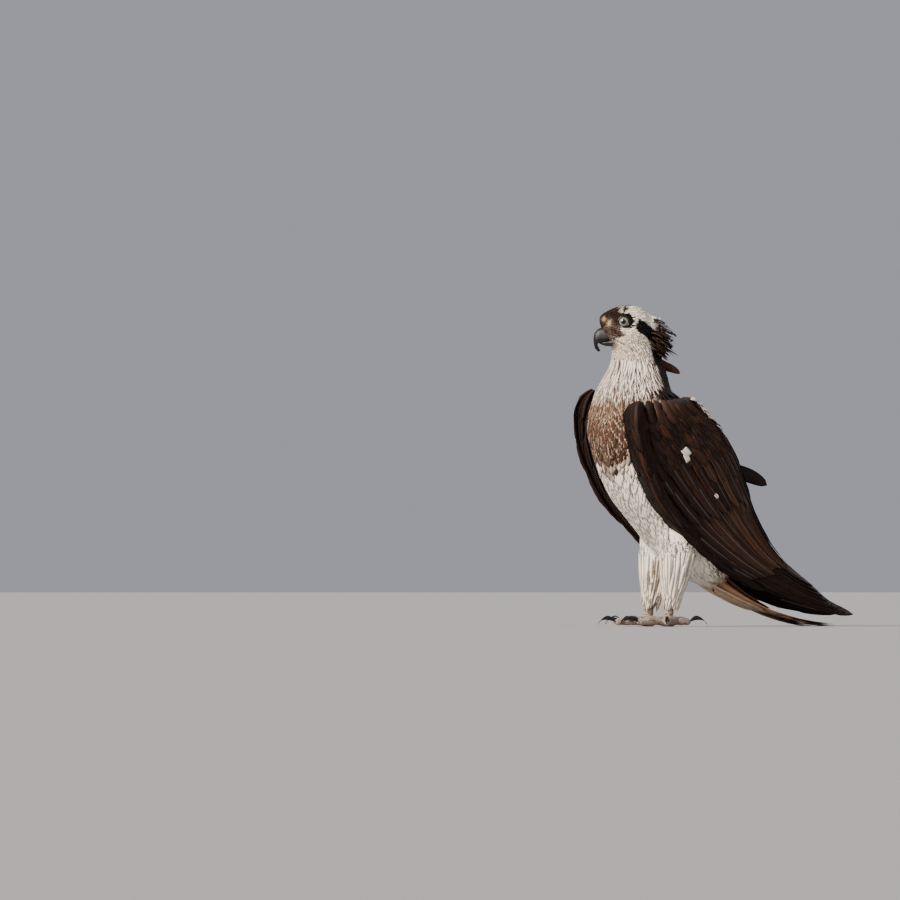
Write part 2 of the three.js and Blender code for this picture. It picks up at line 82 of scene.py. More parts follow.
# a smooth line through rows of key, value, value...
def track(rows):
    rows = np.array(rows, dtype=float)
    keys, values = rows[:, 0], rows[:, 1:]
    slopes = np.gradient(values, keys, axis=0)

    def at(x):
        x = np.clip(np.asarray(x, dtype=float), keys[0], keys[-1])
        i = np.clip(np.searchsorted(keys, x, side="right") - 1, 0, len(keys) - 2)
        span = (keys[i + 1] - keys[i])[..., None]
        t = ((x - keys[i]) / (keys[i + 1] - keys[i]))[..., None]
        t2, t3 = t * t, t * t * t
        return ((2 * t3 - 3 * t2 + 1) * values[i] + (t3 - 2 * t2 + t) * slopes[i] * span
                + (3 * t2 - 2 * t3) * values[i + 1] + (t3 - t2) * slopes[i + 1] * span)

    return at


def fromHead(points):
    points = np.asarray(points, dtype=float)
    s, c = math.sin(math.radians(pose["headTurn"])), math.cos(math.radians(pose["headTurn"]))
    forward, left, up = points[..., 0], points[..., 1], points[..., 2]
    x0, y0, z0 = pose["skull"]
    return np.stack([x0 - forward * s + left * c, y0 - forward * c - left * s, z0 + up], -1)


def toHead(points):
    s, c = math.sin(math.radians(pose["headTurn"])), math.cos(math.radians(pose["headTurn"]))
    d = np.asarray(points, dtype=float) - np.array(pose["skull"])
    return np.stack([-d[..., 0] * s - d[..., 1] * c, d[..., 0] * c - d[..., 1] * s, d[..., 2]], -1)


def turnFromHead(vectors):
    return fromHead(vectors) - fromHead(np.zeros(3))


# the row's frame is the own frame moved, so the left eye says by how much
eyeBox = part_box("eye_left")
shift = np.array((Vector(eyeBox[0]) + Vector(eyeBox[1])) / 2) * 1000 - fromHead(pose["eye"])


def toWorld(points):
    return (np.asarray(points) + shift) / 1000


def toOwn(points):
    return np.asarray(points) * 1000 - shift


# materials

def newMaterial(name, settings):
    material = bpy.data.materials.new(name)
    material.use_nodes = True
    shader = material.node_tree.nodes["Principled BSDF"]
    for key, value in settings.items():
        shader.inputs[key].default_value = value
    return material, material.node_tree, shader


# each input is a number, a colour or another node's output
def addNode(tree, kind, inputs=None, **settings):
    node = tree.nodes.new("ShaderNode" + kind)
    for key, value in settings.items():
        setattr(node, key, value)
    for key, value in (inputs or {}).items():
        if isinstance(value, bpy.types.NodeSocket):
            tree.links.new(value, node.inputs[key])
        else:
            node.inputs[key].default_value = value
    return node


def attribute(tree, name, output="Color"):
    return addNode(tree, "Attribute", attribute_name=name).outputs[output]


def calc(tree, operation, *terms, **settings):
    return addNode(tree, "Math", dict(enumerate(terms)), operation=operation, **settings).outputs[0]


def scaled(tree, vector, factor):
    return addNode(tree, "VectorMath", {0: vector, "Scale": factor}, operation="SCALE").outputs[0]


def objectPlace(tree):
    return addNode(tree, "TexCoord").outputs["Object"]


def noise(tree, place, scale, detail):
    return addNode(tree, "TexNoise", {"Vector": place, "Scale": scale, "Detail": detail}).outputs["Fac"]


def remap(tree, value, start, end, low, high, kind="LINEAR"):
    return addNode(tree, "MapRange", {"Value": value, "From Min": start, "From Max": end, "To Min": low,
                                      "To Max": high}, interpolation_type=kind).outputs["Result"]


def blend(tree, amount, a, b, kind="MIX"):
    return addNode(tree, "Mix", {0: amount, 6: a, 7: b}, data_type="RGBA", blend_type=kind).outputs[2]


def paintOn(tree, shader, colour, height=None, strength=0.0, distance=0.0):
    tree.links.new(colour, shader.inputs["Base Color"])
    if height:
        bump = addNode(tree, "Bump", {"Height": height, "Strength": strength, "Distance": distance})
        tree.links.new(bump.outputs["Normal"], shader.inputs["Normal"])


# vaned feather: keratin barbs lie in fine slanting rows off a shaft, so it is matt with a soft sheen
plume = {
    "roughness": 0.62,
    "rimWidth": 0.22,
    "ragged": 0.3,
    "bars": 7.0,
    "barColour": (0.34, 0.27, 0.22, 1),
    "shaft": (0.05, 0.09),  # share of the half width
    "shaftColour": (0.74, 0.66, 0.52, 1),
    "barbSlant": 0.144,
    "barbRows": 60,
    "streaks": (0.83, 1.17),
}


def featherMaterial():
    material, tree, shader = newMaterial("vanedKeratinFeather", {
        "Roughness": plume["roughness"], "IOR": 1.5, "Specular IOR Level": 0.14})
    look = addNode(tree, "SeparateXYZ", {"Vector": attribute(tree, "look", "Vector")}).outputs
    uv = addNode(tree, "UVMap", uv_map="vane").outputs["UV"]
    vane = addNode(tree, "SeparateXYZ", {"Vector": uv}).outputs
    side = calc(tree, "ABSOLUTE", calc(tree, "MULTIPLY_ADD", vane["X"], 2.0, -1.0))
    # the pale edge starts where look's X says, and runs round the tip
    reach = calc(tree, "MAXIMUM", side, calc(tree, "MULTIPLY_ADD", vane["Y"], 3.2, -2.3))
    reach = calc(tree, "MULTIPLY_ADD", noise(tree, uv, 9.0, 2.0), plume["ragged"], reach)
    reach = calc(tree, "SUBTRACT", reach, plume["ragged"] / 2)
    rimEnd = calc(tree, "ADD", look["X"], plume["rimWidth"])
    rim = remap(tree, reach, look["X"], rimEnd, 0.0, 1.0, "SMOOTHSTEP")
    colour = blend(tree, rim, attribute(tree, "tint"), attribute(tree, "edge"))
    # dark bars across the vane, as strong as look's Y
    wave = calc(tree, "SINE", calc(tree, "MULTIPLY", vane["Y"], plume["bars"] * 2 * math.pi))
    bars = remap(tree, wave, -0.2, 0.5, 0.0, look["Y"], "SMOOTHSTEP")
    colour = blend(tree, bars, colour, plume["barColour"], "MULTIPLY")
    # the shaft is a thin line, as pale as look's Z
    line = remap(tree, side, *plume["shaft"], look["Z"], 0.0)
    colour = blend(tree, line, colour, plume["shaftColour"])
    slant = calc(tree, "MULTIPLY_ADD", side, -plume["barbSlant"], vane["Y"])
    barbs = calc(tree, "SINE", calc(tree, "MULTIPLY", slant, plume["barbRows"] * 2 * math.pi))
    # long soft streaks run along the barbs, different on every feather
    along = addNode(tree, "CombineXYZ", {"X": slant}).outputs[0]
    place = addNode(tree, "VectorMath", {0: along, 1: (14.0, 0.0, 0.0),
                                         2: scaled(tree, objectPlace(tree), 60.0)},
                    operation="MULTIPLY_ADD").outputs[0]
    streaks = remap(tree, noise(tree, place, 1.0, 3.0), 0.3, 0.72, *plume["streaks"])
    shade = calc(tree, "MULTIPLY", streaks, remap(tree, barbs, -1.0, 1.0, 0.92, 1.04))
    paintOn(tree, shader, scaled(tree, colour, shade), barbs, 0.25, 0.0004)
    return material


# down and skin under the feathers: matt, in the feathers' own colours
def downMaterial():
    material, tree, shader = newMaterial("downOverSkin", {"Roughness": 0.9, "Specular IOR Level": 0.15})
    fluff = noise(tree, objectPlace(tree), 700.0, 3.0)
    paintOn(tree, shader, attribute(tree, "tint"), fluff, 0.6, 0.0008)
    return material


# bill and claws: smooth keratin horn, glossy, a little streaked along its growth
def hornMaterial(name, dark, pale, roughness):
    material, tree, shader = newMaterial(name, {"Roughness": roughness, "IOR": 1.54,
                                                "Specular IOR Level": 0.3, "Coat Weight": 0.12,
                                                "Coat Roughness": 0.25})
    growth = noise(tree, objectPlace(tree), 260.0, 4.0)
    amount = calc(tree, "MULTIPLY_ADD", growth, 0.25, attribute(tree, "pale", "Fac"))
    amount = calc(tree, "SUBTRACT", amount, 0.12, use_clamp=True)
    paintOn(tree, shader, blend(tree, amount, (*srgb(dark), 1), (*srgb(pale), 1)), growth, 0.12, 0.0004)
    return material


# bare leg skin: dry horny scales about 1.6 mm wide, with darker creases
def scaleMaterial():
    material, tree, shader = newMaterial("scalyLegSkin", {"Roughness": 0.55, "IOR": 1.45,
                                                          "Subsurface Weight": 0.08,
                                                          "Subsurface Scale": 0.002})
    place = objectPlace(tree)
    scales = addNode(tree, "TexVoronoi", {"Vector": place, "Scale": 400.0}, feature="DISTANCE_TO_EDGE")
    crease = remap(tree, scales.outputs["Distance"], 0.0, 0.16, 0.0, 1.0)
    tone = blend(tree, noise(tree, place, 90.0, 5.0), (*srgb("#a08c7c"), 1), (*srgb("#d9c3ae"), 1))
    paintOn(tree, shader, blend(tree, crease, (*srgb("#57473c"), 1), tone), crease, 0.9, 0.0009)
    return material


# living eye: a clear wet cornea over the iris, so it is very smooth
def eyeMaterial():
    material, tree, shader = newMaterial("wetEye", {"Roughness": 0.06, "IOR": 1.38, "Coat Weight": 0.4,
                                                    "Coat Roughness": 0.02})
    ramp = addNode(tree, "ValToRGB", {"Fac": attribute(tree, "gaze", "Fac")})
    stops = [(0.0, "#050403"), (0.315, "#060504"), (0.35, "#5f5b47"), (0.43, "#837e66"),
             (0.56, "#77735a"), (0.63, "#3d3829"), (0.67, "#0a0807"), (1.0, "#080605")]
    bands = ramp.color_ramp.elements
    for i, (at, code) in enumerate(stops):
        stop = bands[i] if i < 2 else bands.new(at)
        stop.position, stop.color = at, (*srgb(code), 1)
    fibres = remap(tree, noise(tree, objectPlace(tree), 900.0, 3.0), 0.0, 1.0, 0.75, 1.2)
    paintOn(tree, shader, scaled(tree, ramp.outputs["Color"], fibres))
    return material


feather = featherMaterial()
down = downMaterial()
billHorn = hornMaterial("polishedBillHorn", "#040506", "#23292b", 0.5)
clawHorn = hornMaterial("polishedClawHorn", "#08090a", "#3a3a3a", 0.24)
scales = scaleMaterial()
wetEye = eyeMaterial()
print("materials ready")


# markings: one function gives the plumage its colours, with some painted shade round the bill, on the
# skin and on every feather

paint = SimpleNamespace(white=srgb("#fbf0e1"), cream=srgb("#ecd5b9"), buff=srgb("#c49b76"),
                        rufous=srgb("#80533a"), brown=srgb("#4b3226"), dark=srgb("#221612"),
                        black=srgb("#0d0908"))

# how far back the pale front of the neck and head reaches, by height: head's own forward, body's Y
napeLine = track([(300, -32, -48), (307, -36, -41), (317, -40, -24), (325, -37, -22), (342, -31, -26),
                  (358, -26, -26), (366, -24.5, -24), (372, -23.5, -22), (376, -20.5, -20),
                  (380, -13, -13), (384, -8.5, -8), (389, -6.5, -6), (394, -8.5, -8), (400, -9.5, -9)])
# patches of about one size, 0 to 1, with no grid
waves = random.normal(0, 1, (9, 3))
phases = random.uniform(0, 2 * math.pi, 9)


def mottle(points, size):
    ways = unit(waves) * (2 * math.pi / size) * np.linspace(0.7, 1.6, 9)[:, None]
    sums = np.sin(points @ ways.T + phases).sum(1) / math.sqrt(9)
    return 1 / (1 + np.exp(-2.2 * sums))


# upper limit of the dark stripe behind the eye, by the head's own forward
stripeTop = track([(-60, -14), (-42, -4), (-33, -2), (-24, 5), (-16, 10.5), (-8, 12.5), (0, 13)])


def lay(base, over, amount):
    return mix(base, over, np.clip(amount, 0, 1)[:, None])


# white below, a brown breast, a dark back
def bodyMarkings(x, y, z):
    body = np.tile(paint.white, (len(x), 1))
    breastLow = smooth(208, 226, z + 5 * np.sin(x * 0.12))
    breastHigh = 1 - smooth(286, 318, z)
    body = lay(body, paint.cream, smooth(190, 330, z) * 0.35)
    body = lay(body, mix(paint.brown, paint.rufous, 0.5), breastLow * breastHigh * 0.9)
    body = lay(body, paint.brown, breastLow * (1 - smooth(228, 262, z)) * 0.85)
    backY = np.interp(z, [60, 110, 160, 210, 270, 300, 317], [150, 95, 60, 30, -16, -46, -24])
    back = np.where(z > 300, smooth(-3, 3, y - napeLine(z)[:, 1]), smooth(-6, 14, y - backY))
    body = lay(body, paint.dark, back)
    return lay(body, paint.buff, (1 - smooth(80, 125, z)) * smooth(48, 80, y) * 0.5)


# white crown, dark stripe through the eye and down the nape, and painted shade under and along the
# bill, in the head's own frame
def headMarkingsAndShade(f, l, u, spots, napeF):
    head = np.tile(paint.white, (len(f), 1))
    head = lay(head, paint.cream, (1 - smooth(-16, 4, u)) * 0.3)
    head = lay(head, paint.buff, spots * 0.45 * (1 - smooth(-6, 2, u)) * smooth(-24, -8, f))
    fore = smooth(1, 12, f + (spots - 0.5) * 16) * smooth(6, 14, u + 0.3 * f)
    head = lay(head, mix(paint.dark, paint.brown, 0.6 * spots[:, None]) * 0.85, fore)
    lore = smooth(8, 13, f) * (1 - smooth(10, 16, u)) * smooth(-15, -8, u)
    head = lay(head, mix(paint.dark, paint.brown, 0.5), lore * (0.9 + 0.1 * spots))
    crownLine = (1 - smooth(2.5, 5, np.abs(l))) * smooth(-9, -3, f) * smooth(16, 21, u)
    head = lay(head, mix(paint.dark, paint.brown, 0.6), crownLine * 0.95)
    patch = np.exp(-(((f - 27) / 3) ** 2 + ((u - 6) / 4) ** 2))
    patch = patch + np.exp(-(((f - 33.5) / 1.8) ** 2 + ((u - 11) / 2.5) ** 2))
    head = lay(head, mix(paint.buff, paint.cream, 0.6), patch * 0.9)
    # the feathers under the bill are painted dark: painted shadow under the bill
    shadowUnderBill = smooth(13, 21, f) * (1 - smooth(-17, -11, u)) * smooth(-32, -22, u)
    head = lay(head, mix(paint.dark, paint.buff, 0.2), shadowUnderBill * 0.92)
    lash = np.exp(-(((u + 14.4 + (18 - f) * 0.6) / 0.9) ** 2)) * smooth(-8, -2, f)
    lash = lash + 0.7 * np.exp(-(((u + 19 + (20 - f) * 0.75) / 0.8) ** 2)) * smooth(0, 6, f)
    head = lay(head, mix(paint.dark, paint.buff, 0.3), lash * 0.85)
    away = np.sqrt((f - 4.4) ** 2 + (u - 9.0) ** 2)
    ring = 1 - smooth(9.4, 10.4, away)
    pale = smooth(9.6, 10.6, away) * (1 - smooth(13, 14, away)) * (1 - smooth(9, 13, u)) * (f < 12)
    head = lay(head, paint.white * 1.05, pale)
    # a dark line along the gape: painted shade in the mouth's corner
    gapeShade = np.exp(-((u + 7 + (f - 6.7) * 0.37) / 1.5) ** 2) * smooth(5, 9, f)
    head = lay(head, paint.dark, gapeShade * 0.96)
    underStripe = 1 - smooth(-1.5, 1.5, u - stripeTop(f)[:, 0])
    behind = (1 - smooth(-10, -8, f)) * underStripe * smooth(-2.5, 2.5, napeF - f)
    behind = np.maximum(behind, (1 - smooth(-2, 2, f - napeF)) * underStripe)
    head = lay(head, paint.black, behind)
    nape = (1 - smooth(-46, -34, f)) * (1 - smooth(-8, 4, u))
    head = lay(head, paint.dark, nape)
    return lay(head, paint.black, ring)


def plumage(points):
    z = points[:, 2]
    head = headMarkingsAndShade(*toHead(points).T, mottle(points, 7), napeLine(z)[:, 0])
    return mix(bodyMarkings(*points.T), head, smooth(336, 352, z)[:, None])


# meshes from arrays

def newThing(name, mesh, material):
    mesh.polygons.foreach_set("use_smooth", np.ones(len(mesh.polygons), bool))
    mesh.materials.append(material)
    thing = bpy.data.objects.new(name, mesh)
    bpy.context.scene.collection.objects.link(thing)
    return thing


# every piece rides the one body, and may take the place of nodes
def settle(thing, slot, *nodes):
    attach(thing, "root")
    if nodes:
        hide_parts(*nodes)
    return thing


def meshFrom(name, points, faces, material, uvs, attributes):
    mesh = bpy.data.meshes.new(name)
    mesh.vertices.add(len(points))
    mesh.vertices.foreach_set("co", np.asarray(points, dtype=np.float32).ravel())
    mesh.loops.add(faces.size)
    mesh.loops.foreach_set("vertex_index", faces.astype(np.int32).ravel())
    mesh.polygons.add(len(faces))
    mesh.polygons.foreach_set("loop_start", np.arange(len(faces), dtype=np.int32) * 4)
    for key, values in uvs.items():
        layer = mesh.uv_layers.new(name=key)
        layer.data.foreach_set("uv", np.asarray(values, dtype=np.float32)[faces.ravel()].ravel())
    for key, values in attributes.items():
        values = np.asarray(values, dtype=np.float32)
        if key == "look":
            mesh.attributes.new(key, "FLOAT_VECTOR", "POINT").data.foreach_set("vector", values.ravel())
        else:
            full = np.concatenate([values, np.ones((len(values), 1), np.float32)], 1)
            mesh.attributes.new(key, "FLOAT_COLOR", "POINT").data.foreach_set("color", full.ravel())
    mesh.update(calc_edges=True)
    mesh.validate()
    return newThing(name, mesh, material)


# cross-sections of a feather, as (across, height) round it: a plain lens, and one with a raised shaft
lens = np.array([(-1, 0), (0, -0.5), (1, 0), (0, 0.5)])
shafted = np.array([(-1, 0), (-0.5, -0.35), (0, -0.7), (0.5, -0.35), (1, 0), (0.52, 0.35), (0.07, 0.45),
                    (0, 0.75), (-0.07, 0.45), (-0.52, 0.35)])


# paths and normals: feathers x rows x 3, half: feathers x rows, all in millimetres
def featherMesh(name, paths, normals, half, bake, tint, edge, look, section=lens, thick=0.35,
                camber=0.12, lift=0.0):
    count, rows = half.shape
    k = len(section)
    along = unit(np.gradient(paths, axis=1))
    across = unit(np.cross(normals, along))
    up = np.cross(along, across)
    share = np.linspace(0, 1, rows)
    wide = half[:, :, None, None]
    side = section[:, 0][None, None, :, None] * wide
    high = section[:, 1][None, None, :, None] * (thick * (1.15 - share)[None, :, None, None])
    high = high + np.broadcast_to(lift, half.shape)[:, :, None, None]
    high = high - camber * side ** 2 / (wide + 2)
    points = paths[:, :, None] + across[:, :, None] * side + up[:, :, None] * high
    ring = np.arange(k)
    row = np.arange(rows - 1)[:, None] * k
    walls = np.stack([row + ring, row + k + ring, row + k + (ring + 1) % k, row + (ring + 1) % k], -1)
    walls = walls.reshape(-1, 4)
    caps = [[a, a + 1, k - 2 - a, k - 1 - a] for a in range(k // 2 - 1)]
    ends = [[corner + (rows - 1) * k for corner in reversed(cap)] for cap in caps]
    base = np.concatenate([walls, caps, ends])
    faces = (base[None] + (np.arange(count) * rows * k)[:, None, None]).reshape(-1, 4)
    place = np.stack(np.broadcast_arrays(section[:, 0], share[None, :, None]), -1)
    vane = np.broadcast_to(place * (0.5, 1) + (0.5, 0), (count, rows, k, 2)).reshape(-1, 2)
    patch = (place - (0, 0.5)) * (0.0015, 0.003)
    patch = (bake[:, None, None, :] + patch).reshape(-1, 2)
    flat = points.reshape(-1, 3)
    flat[:, 2] = np.maximum(flat[:, 2], 0.1)
    a, b, c = (flat[faces[:, i]] for i in range(3))
    if np.einsum("ij,ij->i", a, np.cross(b, c)).sum() < 0:  # the volume, so the faces look outward
        faces = faces[:, ::-1]
    return meshFrom(name, toWorld(flat), faces, feather, {"vane": vane, "OFBake": patch},
                    {key: np.repeat(np.asarray(value), rows * k, axis=0)
                     for key, value in (("tint", tint), ("edge", edge), ("look", look))})


# where the pale rim starts, how strong the bars are and how pale the shaft is
def lookOf(n, rim, bars=0.0, shaft=0.0):
    return np.stack([np.full(n, 1.0) * rim, np.full(n, bars), np.full(n, shaft)], 1)


# half width along a feather: narrow at the quill, full, then closing to the tip
def outline(rows, full, blunt):
    s = np.linspace(0, 1, rows)
    body = mix(0.35, 1, np.clip(s / full, 0, 1) ** 0.7)
    tip = np.sqrt(np.clip(1 - np.clip((s - (1 - blunt)) / blunt, 0, 1) ** 2, 0, 1))
    shape = body * tip
    shape[-1] = 0.04
    return shape


# how full a tube is: 1, but rounded off over its first and last share
def roundEnds(share, first, last):
    return (math.sin(min(share / first, 1) * math.pi / 2)
            * math.sin(min((1 - share) / last, 1) * math.pi / 2))


def meshOf(work, name):
    mesh = bpy.data.meshes.new(name)
    work.to_mesh(mesh)
    work.free()
    return mesh


# a closed tube from a sphere: place(share along, angle) in the own frame
def tubePiece(name, place, around, along, material):
    work = bmesh.new()
    bmesh.ops.create_uvsphere(work, u_segments=around, v_segments=along, radius=1)
    for v in work.verts:
        share = round(math.acos(max(-1, min(1, -v.co.z))) / math.pi * along) / along
        pole = share in (0, 1)
        angle = 0 if pole else math.atan2(v.co.y, v.co.x) % (2 * math.pi)
        spot = place(share, angle)
        v.co = Vector(toWorld((spot[0], spot[1], max(spot[2], 0))))
    bmesh.ops.recalc_face_normals(work, faces=work.faces)
    return newThing(name, meshOf(work, name), material)


# skin: one closed surface for torso, neck, head and thighs

skin = {
    "nodes": ["torso", "neck", "head", "thigh_left", "thigh_right"],
    "voxel": 0.0021,
    "swell": 0.0005,  # closes the gaps between the nodes
    "coat": 3.4,  # mm of feathers over the body
    "faceCoat": 1.2,
    "rounds": 7,
}
# along the skull: share, forward, up, half height, half width, lean in degrees
skull = track([
    (0, -38, -5, 0, 0, -10), (0.1, -34, -5, 13, 12, -10), (0.24, -24, -3, 23, 20, -5),
    (0.42, -10, 0, 30, 24.5, 0), (0.58, 4, 0, 30.5, 25, 5), (0.72, 16, 0, 27, 21.5, 12),
    (0.84, 25, 0.5, 22, 17, 13), (0.92, 32, 2.5, 16.5, 13, 14), (0.97, 36.6, 4.5, 10, 9, 14),
    (1, 38.4, 5.5, 0, 0, 14)])


# the skull without its sockets: the bill and the eyes stand in it, so the skin closes up to them
def wholeSkull():
    def place(share, angle):
        forward, up, high, wide, lean = skull(share)
        rise = high * math.sin(angle)
        return fromHead([forward + rise * math.sin(math.radians(lean)), wide * math.cos(angle),
                         up + rise * math.cos(math.radians(lean))])

    thing = tubePiece("skull", place, 32, 40, down)
    mesh = thing.data
    bpy.data.objects.remove(thing)
    return mesh


# nodes and other meshes as one closed surface of small voxels
def remeshed(name, nodes, voxel, swell, material, more=()):
    work = bmesh.new()
    for mesh in more:
        work.from_mesh(mesh)
        bpy.data.meshes.remove(mesh)
    for node in nodes:
        part = bmesh.new()
        part.from_mesh(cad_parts[node].data)
        bmesh.ops.remove_doubles(part, verts=part.verts, dist=1e-6)
        bmesh.ops.recalc_face_normals(part, faces=part.faces)
        part.normal_update()
        for v in part.verts:
            v.co += v.normal * swell
        copy = meshOf(part, node + "Copy")
        work.from_mesh(copy)
        bpy.data.meshes.remove(copy)
    mesh = meshOf(work, name + "Rough")
    rough = bpy.data.objects.new(name + "Rough", mesh)
    bpy.context.scene.collection.objects.link(rough)
    modifier = rough.modifiers.new("voxels", "REMESH")
    modifier.mode, modifier.voxel_size = "VOXEL", voxel
    done = bpy.data.meshes.new_from_object(rough.evaluated_get(bpy.context.evaluated_depsgraph_get()))
    bpy.data.objects.remove(rough)
    bpy.data.meshes.remove(mesh)
    return newThing(name, done, material)


# takes the voxels' steps out
def relax(thing, rounds):
    work = bmesh.new()
    work.from_mesh(thing.data)
    for _ in range(rounds):
        bmesh.ops.smooth_vert(work, verts=work.verts, factor=0.5, use_axis_x=True, use_axis_y=True,
                              use_axis_z=True)
    work.normal_update()
    work.to_mesh(thing.data)
    work.free()


def readAll(items, key, kind=np.float32):
    out = np.empty(len(items) * 3, kind)
    items.foreach_get(key, out)
    return out.reshape(-1, 3).astype(float if kind is np.float32 else int)


def tinted(thing, colour):
    full = np.concatenate([colour, np.ones((len(colour), 1))], 1).astype(np.float32)
    thing.data.attributes.new("tint", "FLOAT_COLOR", "POINT").data.foreach_set("color", full.ravel())


def makeSkin():
    thing = remeshed("skin", skin["nodes"], skin["voxel"], skin["swell"], down, [wholeSkull()])
    relax(thing, skin["rounds"])
    points = toOwn(readAll(thing.data.vertices, "co"))
    depth = mix(skin["coat"], skin["faceCoat"], smooth(330, 375, points[:, 2]))
    points -= readAll(thing.data.vertex_normals, "vector") * depth[:, None]
    thing.data.vertices.foreach_set("co", toWorld(points).astype(np.float32).ravel())
    thing.data.update()
    tinted(thing, plumage(points))
    return settle(thing, "plumage_pale", *skin["nodes"])


skinPiece = makeSkin()
print("skin", len(skinPiece.data.polygons))


# wings

wing = {
    "lean": 13,  # mm that the right wing hangs further forward
    "raise": 18,  # and how much higher its shoulder is held
    "lower": track([
        (0, 62, -62, 297), (0.06, 73, -73, 277), (0.15, 77, -70, 240), (0.26, 73, -49, 190),
        (0.38, 64, -14, 143), (0.5, 55, 33, 103), (0.64, 46, 97, 64), (0.8, 38, 178, 33),
        (0.92, 30, 237, 18), (1, 22, 276, 13)]),
    "upper": track([
        (0, 46, 12, 300), (0.06, 30, 34, 288), (0.15, 14, 66, 265), (0.26, 5, 98, 232),
        (0.38, 2, 118, 190), (0.5, 3, 134, 146), (0.64, 6, 160, 101), (0.8, 9, 205, 58),
        (0.92, 12, 247, 31), (1, 15, 278, 17)]),
    "depth": track([(0, 30), (0.3, 46), (0.5, 26), (0.66, 10), (0.85, 5), (1, 2)]),
    "bodyEnd": 0.86,
    "sink": 2.4,  # mm that the flesh lies under the feathers
}


# the wing's lower and upper edge and how far apart they are
def wingEdges(u):
    low, high = wing["lower"](u), wing["upper"](u)
    return low, high, np.hypot(high[..., 1] - low[..., 1], high[..., 2] - low[..., 2])


# u runs from the shoulder to the tip, turn from below 0 round the lower edge to 90 on the back
def wingFace(side, u, turn, sink=0):
    u, turn = np.broadcast_arrays(np.asarray(u, float), np.asarray(turn, float))
    low, high, span = wingEdges(u)
    far = side == "right"
    lean = -wing["lean"] * far * np.sin(np.clip(u / 0.9, 0, 1) * math.pi)
    lifted = wing["raise"] * far * (1 - np.clip(u / 0.55, 0, 1)) ** 1.5
    c, s = np.cos(np.radians(turn)), np.sin(np.radians(turn))
    e = np.where(turn < 0, 0.05 * s, s) * (1 - sink / span)
    x = high[..., 0] + np.maximum(0, low[..., 0] - high[..., 0] - sink) * c
    return np.stack([hands[side] * np.maximum(x, 0.6), mix(low[..., 1], high[..., 1], e) + lean,
                     mix(low[..., 2], high[..., 2], e) + lifted], -1)


# outward, so the order of the cross product goes by the hand
def wingNormal(side, u, turn):
    along = wingFace(side, u + 0.01, turn) - wingFace(side, u - 0.01, turn)
    about = wingFace(side, u, turn + 2) - wingFace(side, u, turn - 2)
    return unit(np.cross(along, about) * hands[side])


# flesh under the feathers: its outer side follows the wing's face, its inner side lies deeper
def wingBody(side):
    def place(share, angle):
        u = share * wing["bodyEnd"]
        full = roundEnds(share, 0.08, 0.1)
        half = angle / math.pi
        outer = half <= 1
        turn = mix(-50 * min(max(1.3 - u * 1.5, 0), 1), 90, half if outer else 2 - half)
        depth = float(wing["depth"](u)[0])
        shell = wingFace(side, u, turn, wing["sink"] if outer else depth)
        heart = wingFace(side, u, 45, depth * 0.5)
        return mix(heart, shell, full)

    thing = tubePiece("wingFlesh_" + side, place, 40, 50, down)
    tinted(thing, np.tile(paint.dark, (len(thing.data.vertices), 1)))
    settle(thing, "plumage_dark", "wing_" + side)


# rows of feathers, under to upper: how many, the first and the last one as root share, root turn,
# tip share and tip turn, and how far the tips lift in mm
tiers = {
    "secondary": (13, (0.33, -6, 0.655, 4), (0.33, 68, 0.74, 72), 3.4),
    "tertial": (4, (0.3, 68, 0.71, 73), (0.26, 88, 0.58, 89), 4.4),
    "greater": (14, (0.2, -10, 0.42, -4), (0.2, 84, 0.46, 87), 3.2),
    "median": (14, (0.12, -14, 0.32, -8), (0.12, 82, 0.36, 86), 3.0),
}
lesser = {"rows": 9, "count": 19, "shares": (0.015, 0.17)}
leading = {"rows": 9, "count": 9, "shares": (0.02, 0.6), "turns": (-49, -6)}
primaries = {"count": 8, "rootTurn": (4, 50), "tipTurn": (28, 64), "tips": (1.0, 0.83), "stack": 0.9}


# lanes: feathers x (root share, root turn, tip share, tip turn), half: feathers, in mm
def laneFeathers(name, side, lanes, rows, lift, base, section, half, blunt, shade):
    count = len(lanes)
    s = np.linspace(0, 1, rows)[None]
    u = mix(lanes[:, 0:1], lanes[:, 2:3], s)
    turn = mix(lanes[:, 1:2], lanes[:, 3:4], s)
    paths = wingFace(side, u, turn)
    normals = wingNormal(side, u, turn)
    rise = np.where(s < 0.25, mix(-2.0, base, s / 0.25), base + (lift - base) * (s - 0.25) / 0.75)
    rise = rise + random.uniform(-0.3, 0.7, (count, 1)) * s
    shape = outline(rows, 0.4, blunt)
    fray = random.normal(0, 0.055, (count, rows)) * smooth(0.1, 0.5, s)
    widths = half[:, None] * shape[None] * (1 + fray)
    widths = np.minimum(widths, wingEdges(u)[2] * 0.55 + 2)
    tilt = 0.7 * hands[side] / (half[:, None, None] + 1)
    across = np.cross(normals, unit(np.gradient(paths, axis=1)))
    normals = unit(normals + across * tilt)
    tint, edge, look = shade(lanes)
    bake = np.stack([0.03 + 0.44 * lanes[:, 0] + (0.5 if side == "left" else 0),
                     0.08 + 0.8 * (lanes[:, 1] + 20) / 115], 1)
    bake += random.uniform(-0.004, 0.004, bake.shape)
    thing = featherMesh(name, paths, normals, widths, bake, tint, edge, look, section, 0.7, 0.05, rise)
    settle(thing, "plumage_dark")


# dark brown feathers, warmer towards the back, with a paler rim
def darkShade(rimStart, rimColour, shaft=0.0, warm=0.25):
    def shade(lanes):
        n = len(lanes)
        tone = random.uniform(0.7, 1.25, (n, 1))
        warmth = random.uniform(0, warm, (n, 1)) ** 1.5 * smooth(-10, 50, lanes[:, 1:2]) * 1.6
        tint = mix(paint.dark, mix(paint.brown, paint.rufous, 0.35), warmth) * tone
        glow = 0.15 + 0.6 * smooth(-10, 45, lanes[:, 1:2])
        edge = mix(paint.dark, rimColour, glow) * random.uniform(0.5, 1.3, (n, 1))
        return tint, edge, lookOf(n, rimStart + random.uniform(-0.05, 0.12, n), shaft=shaft)
    return shade


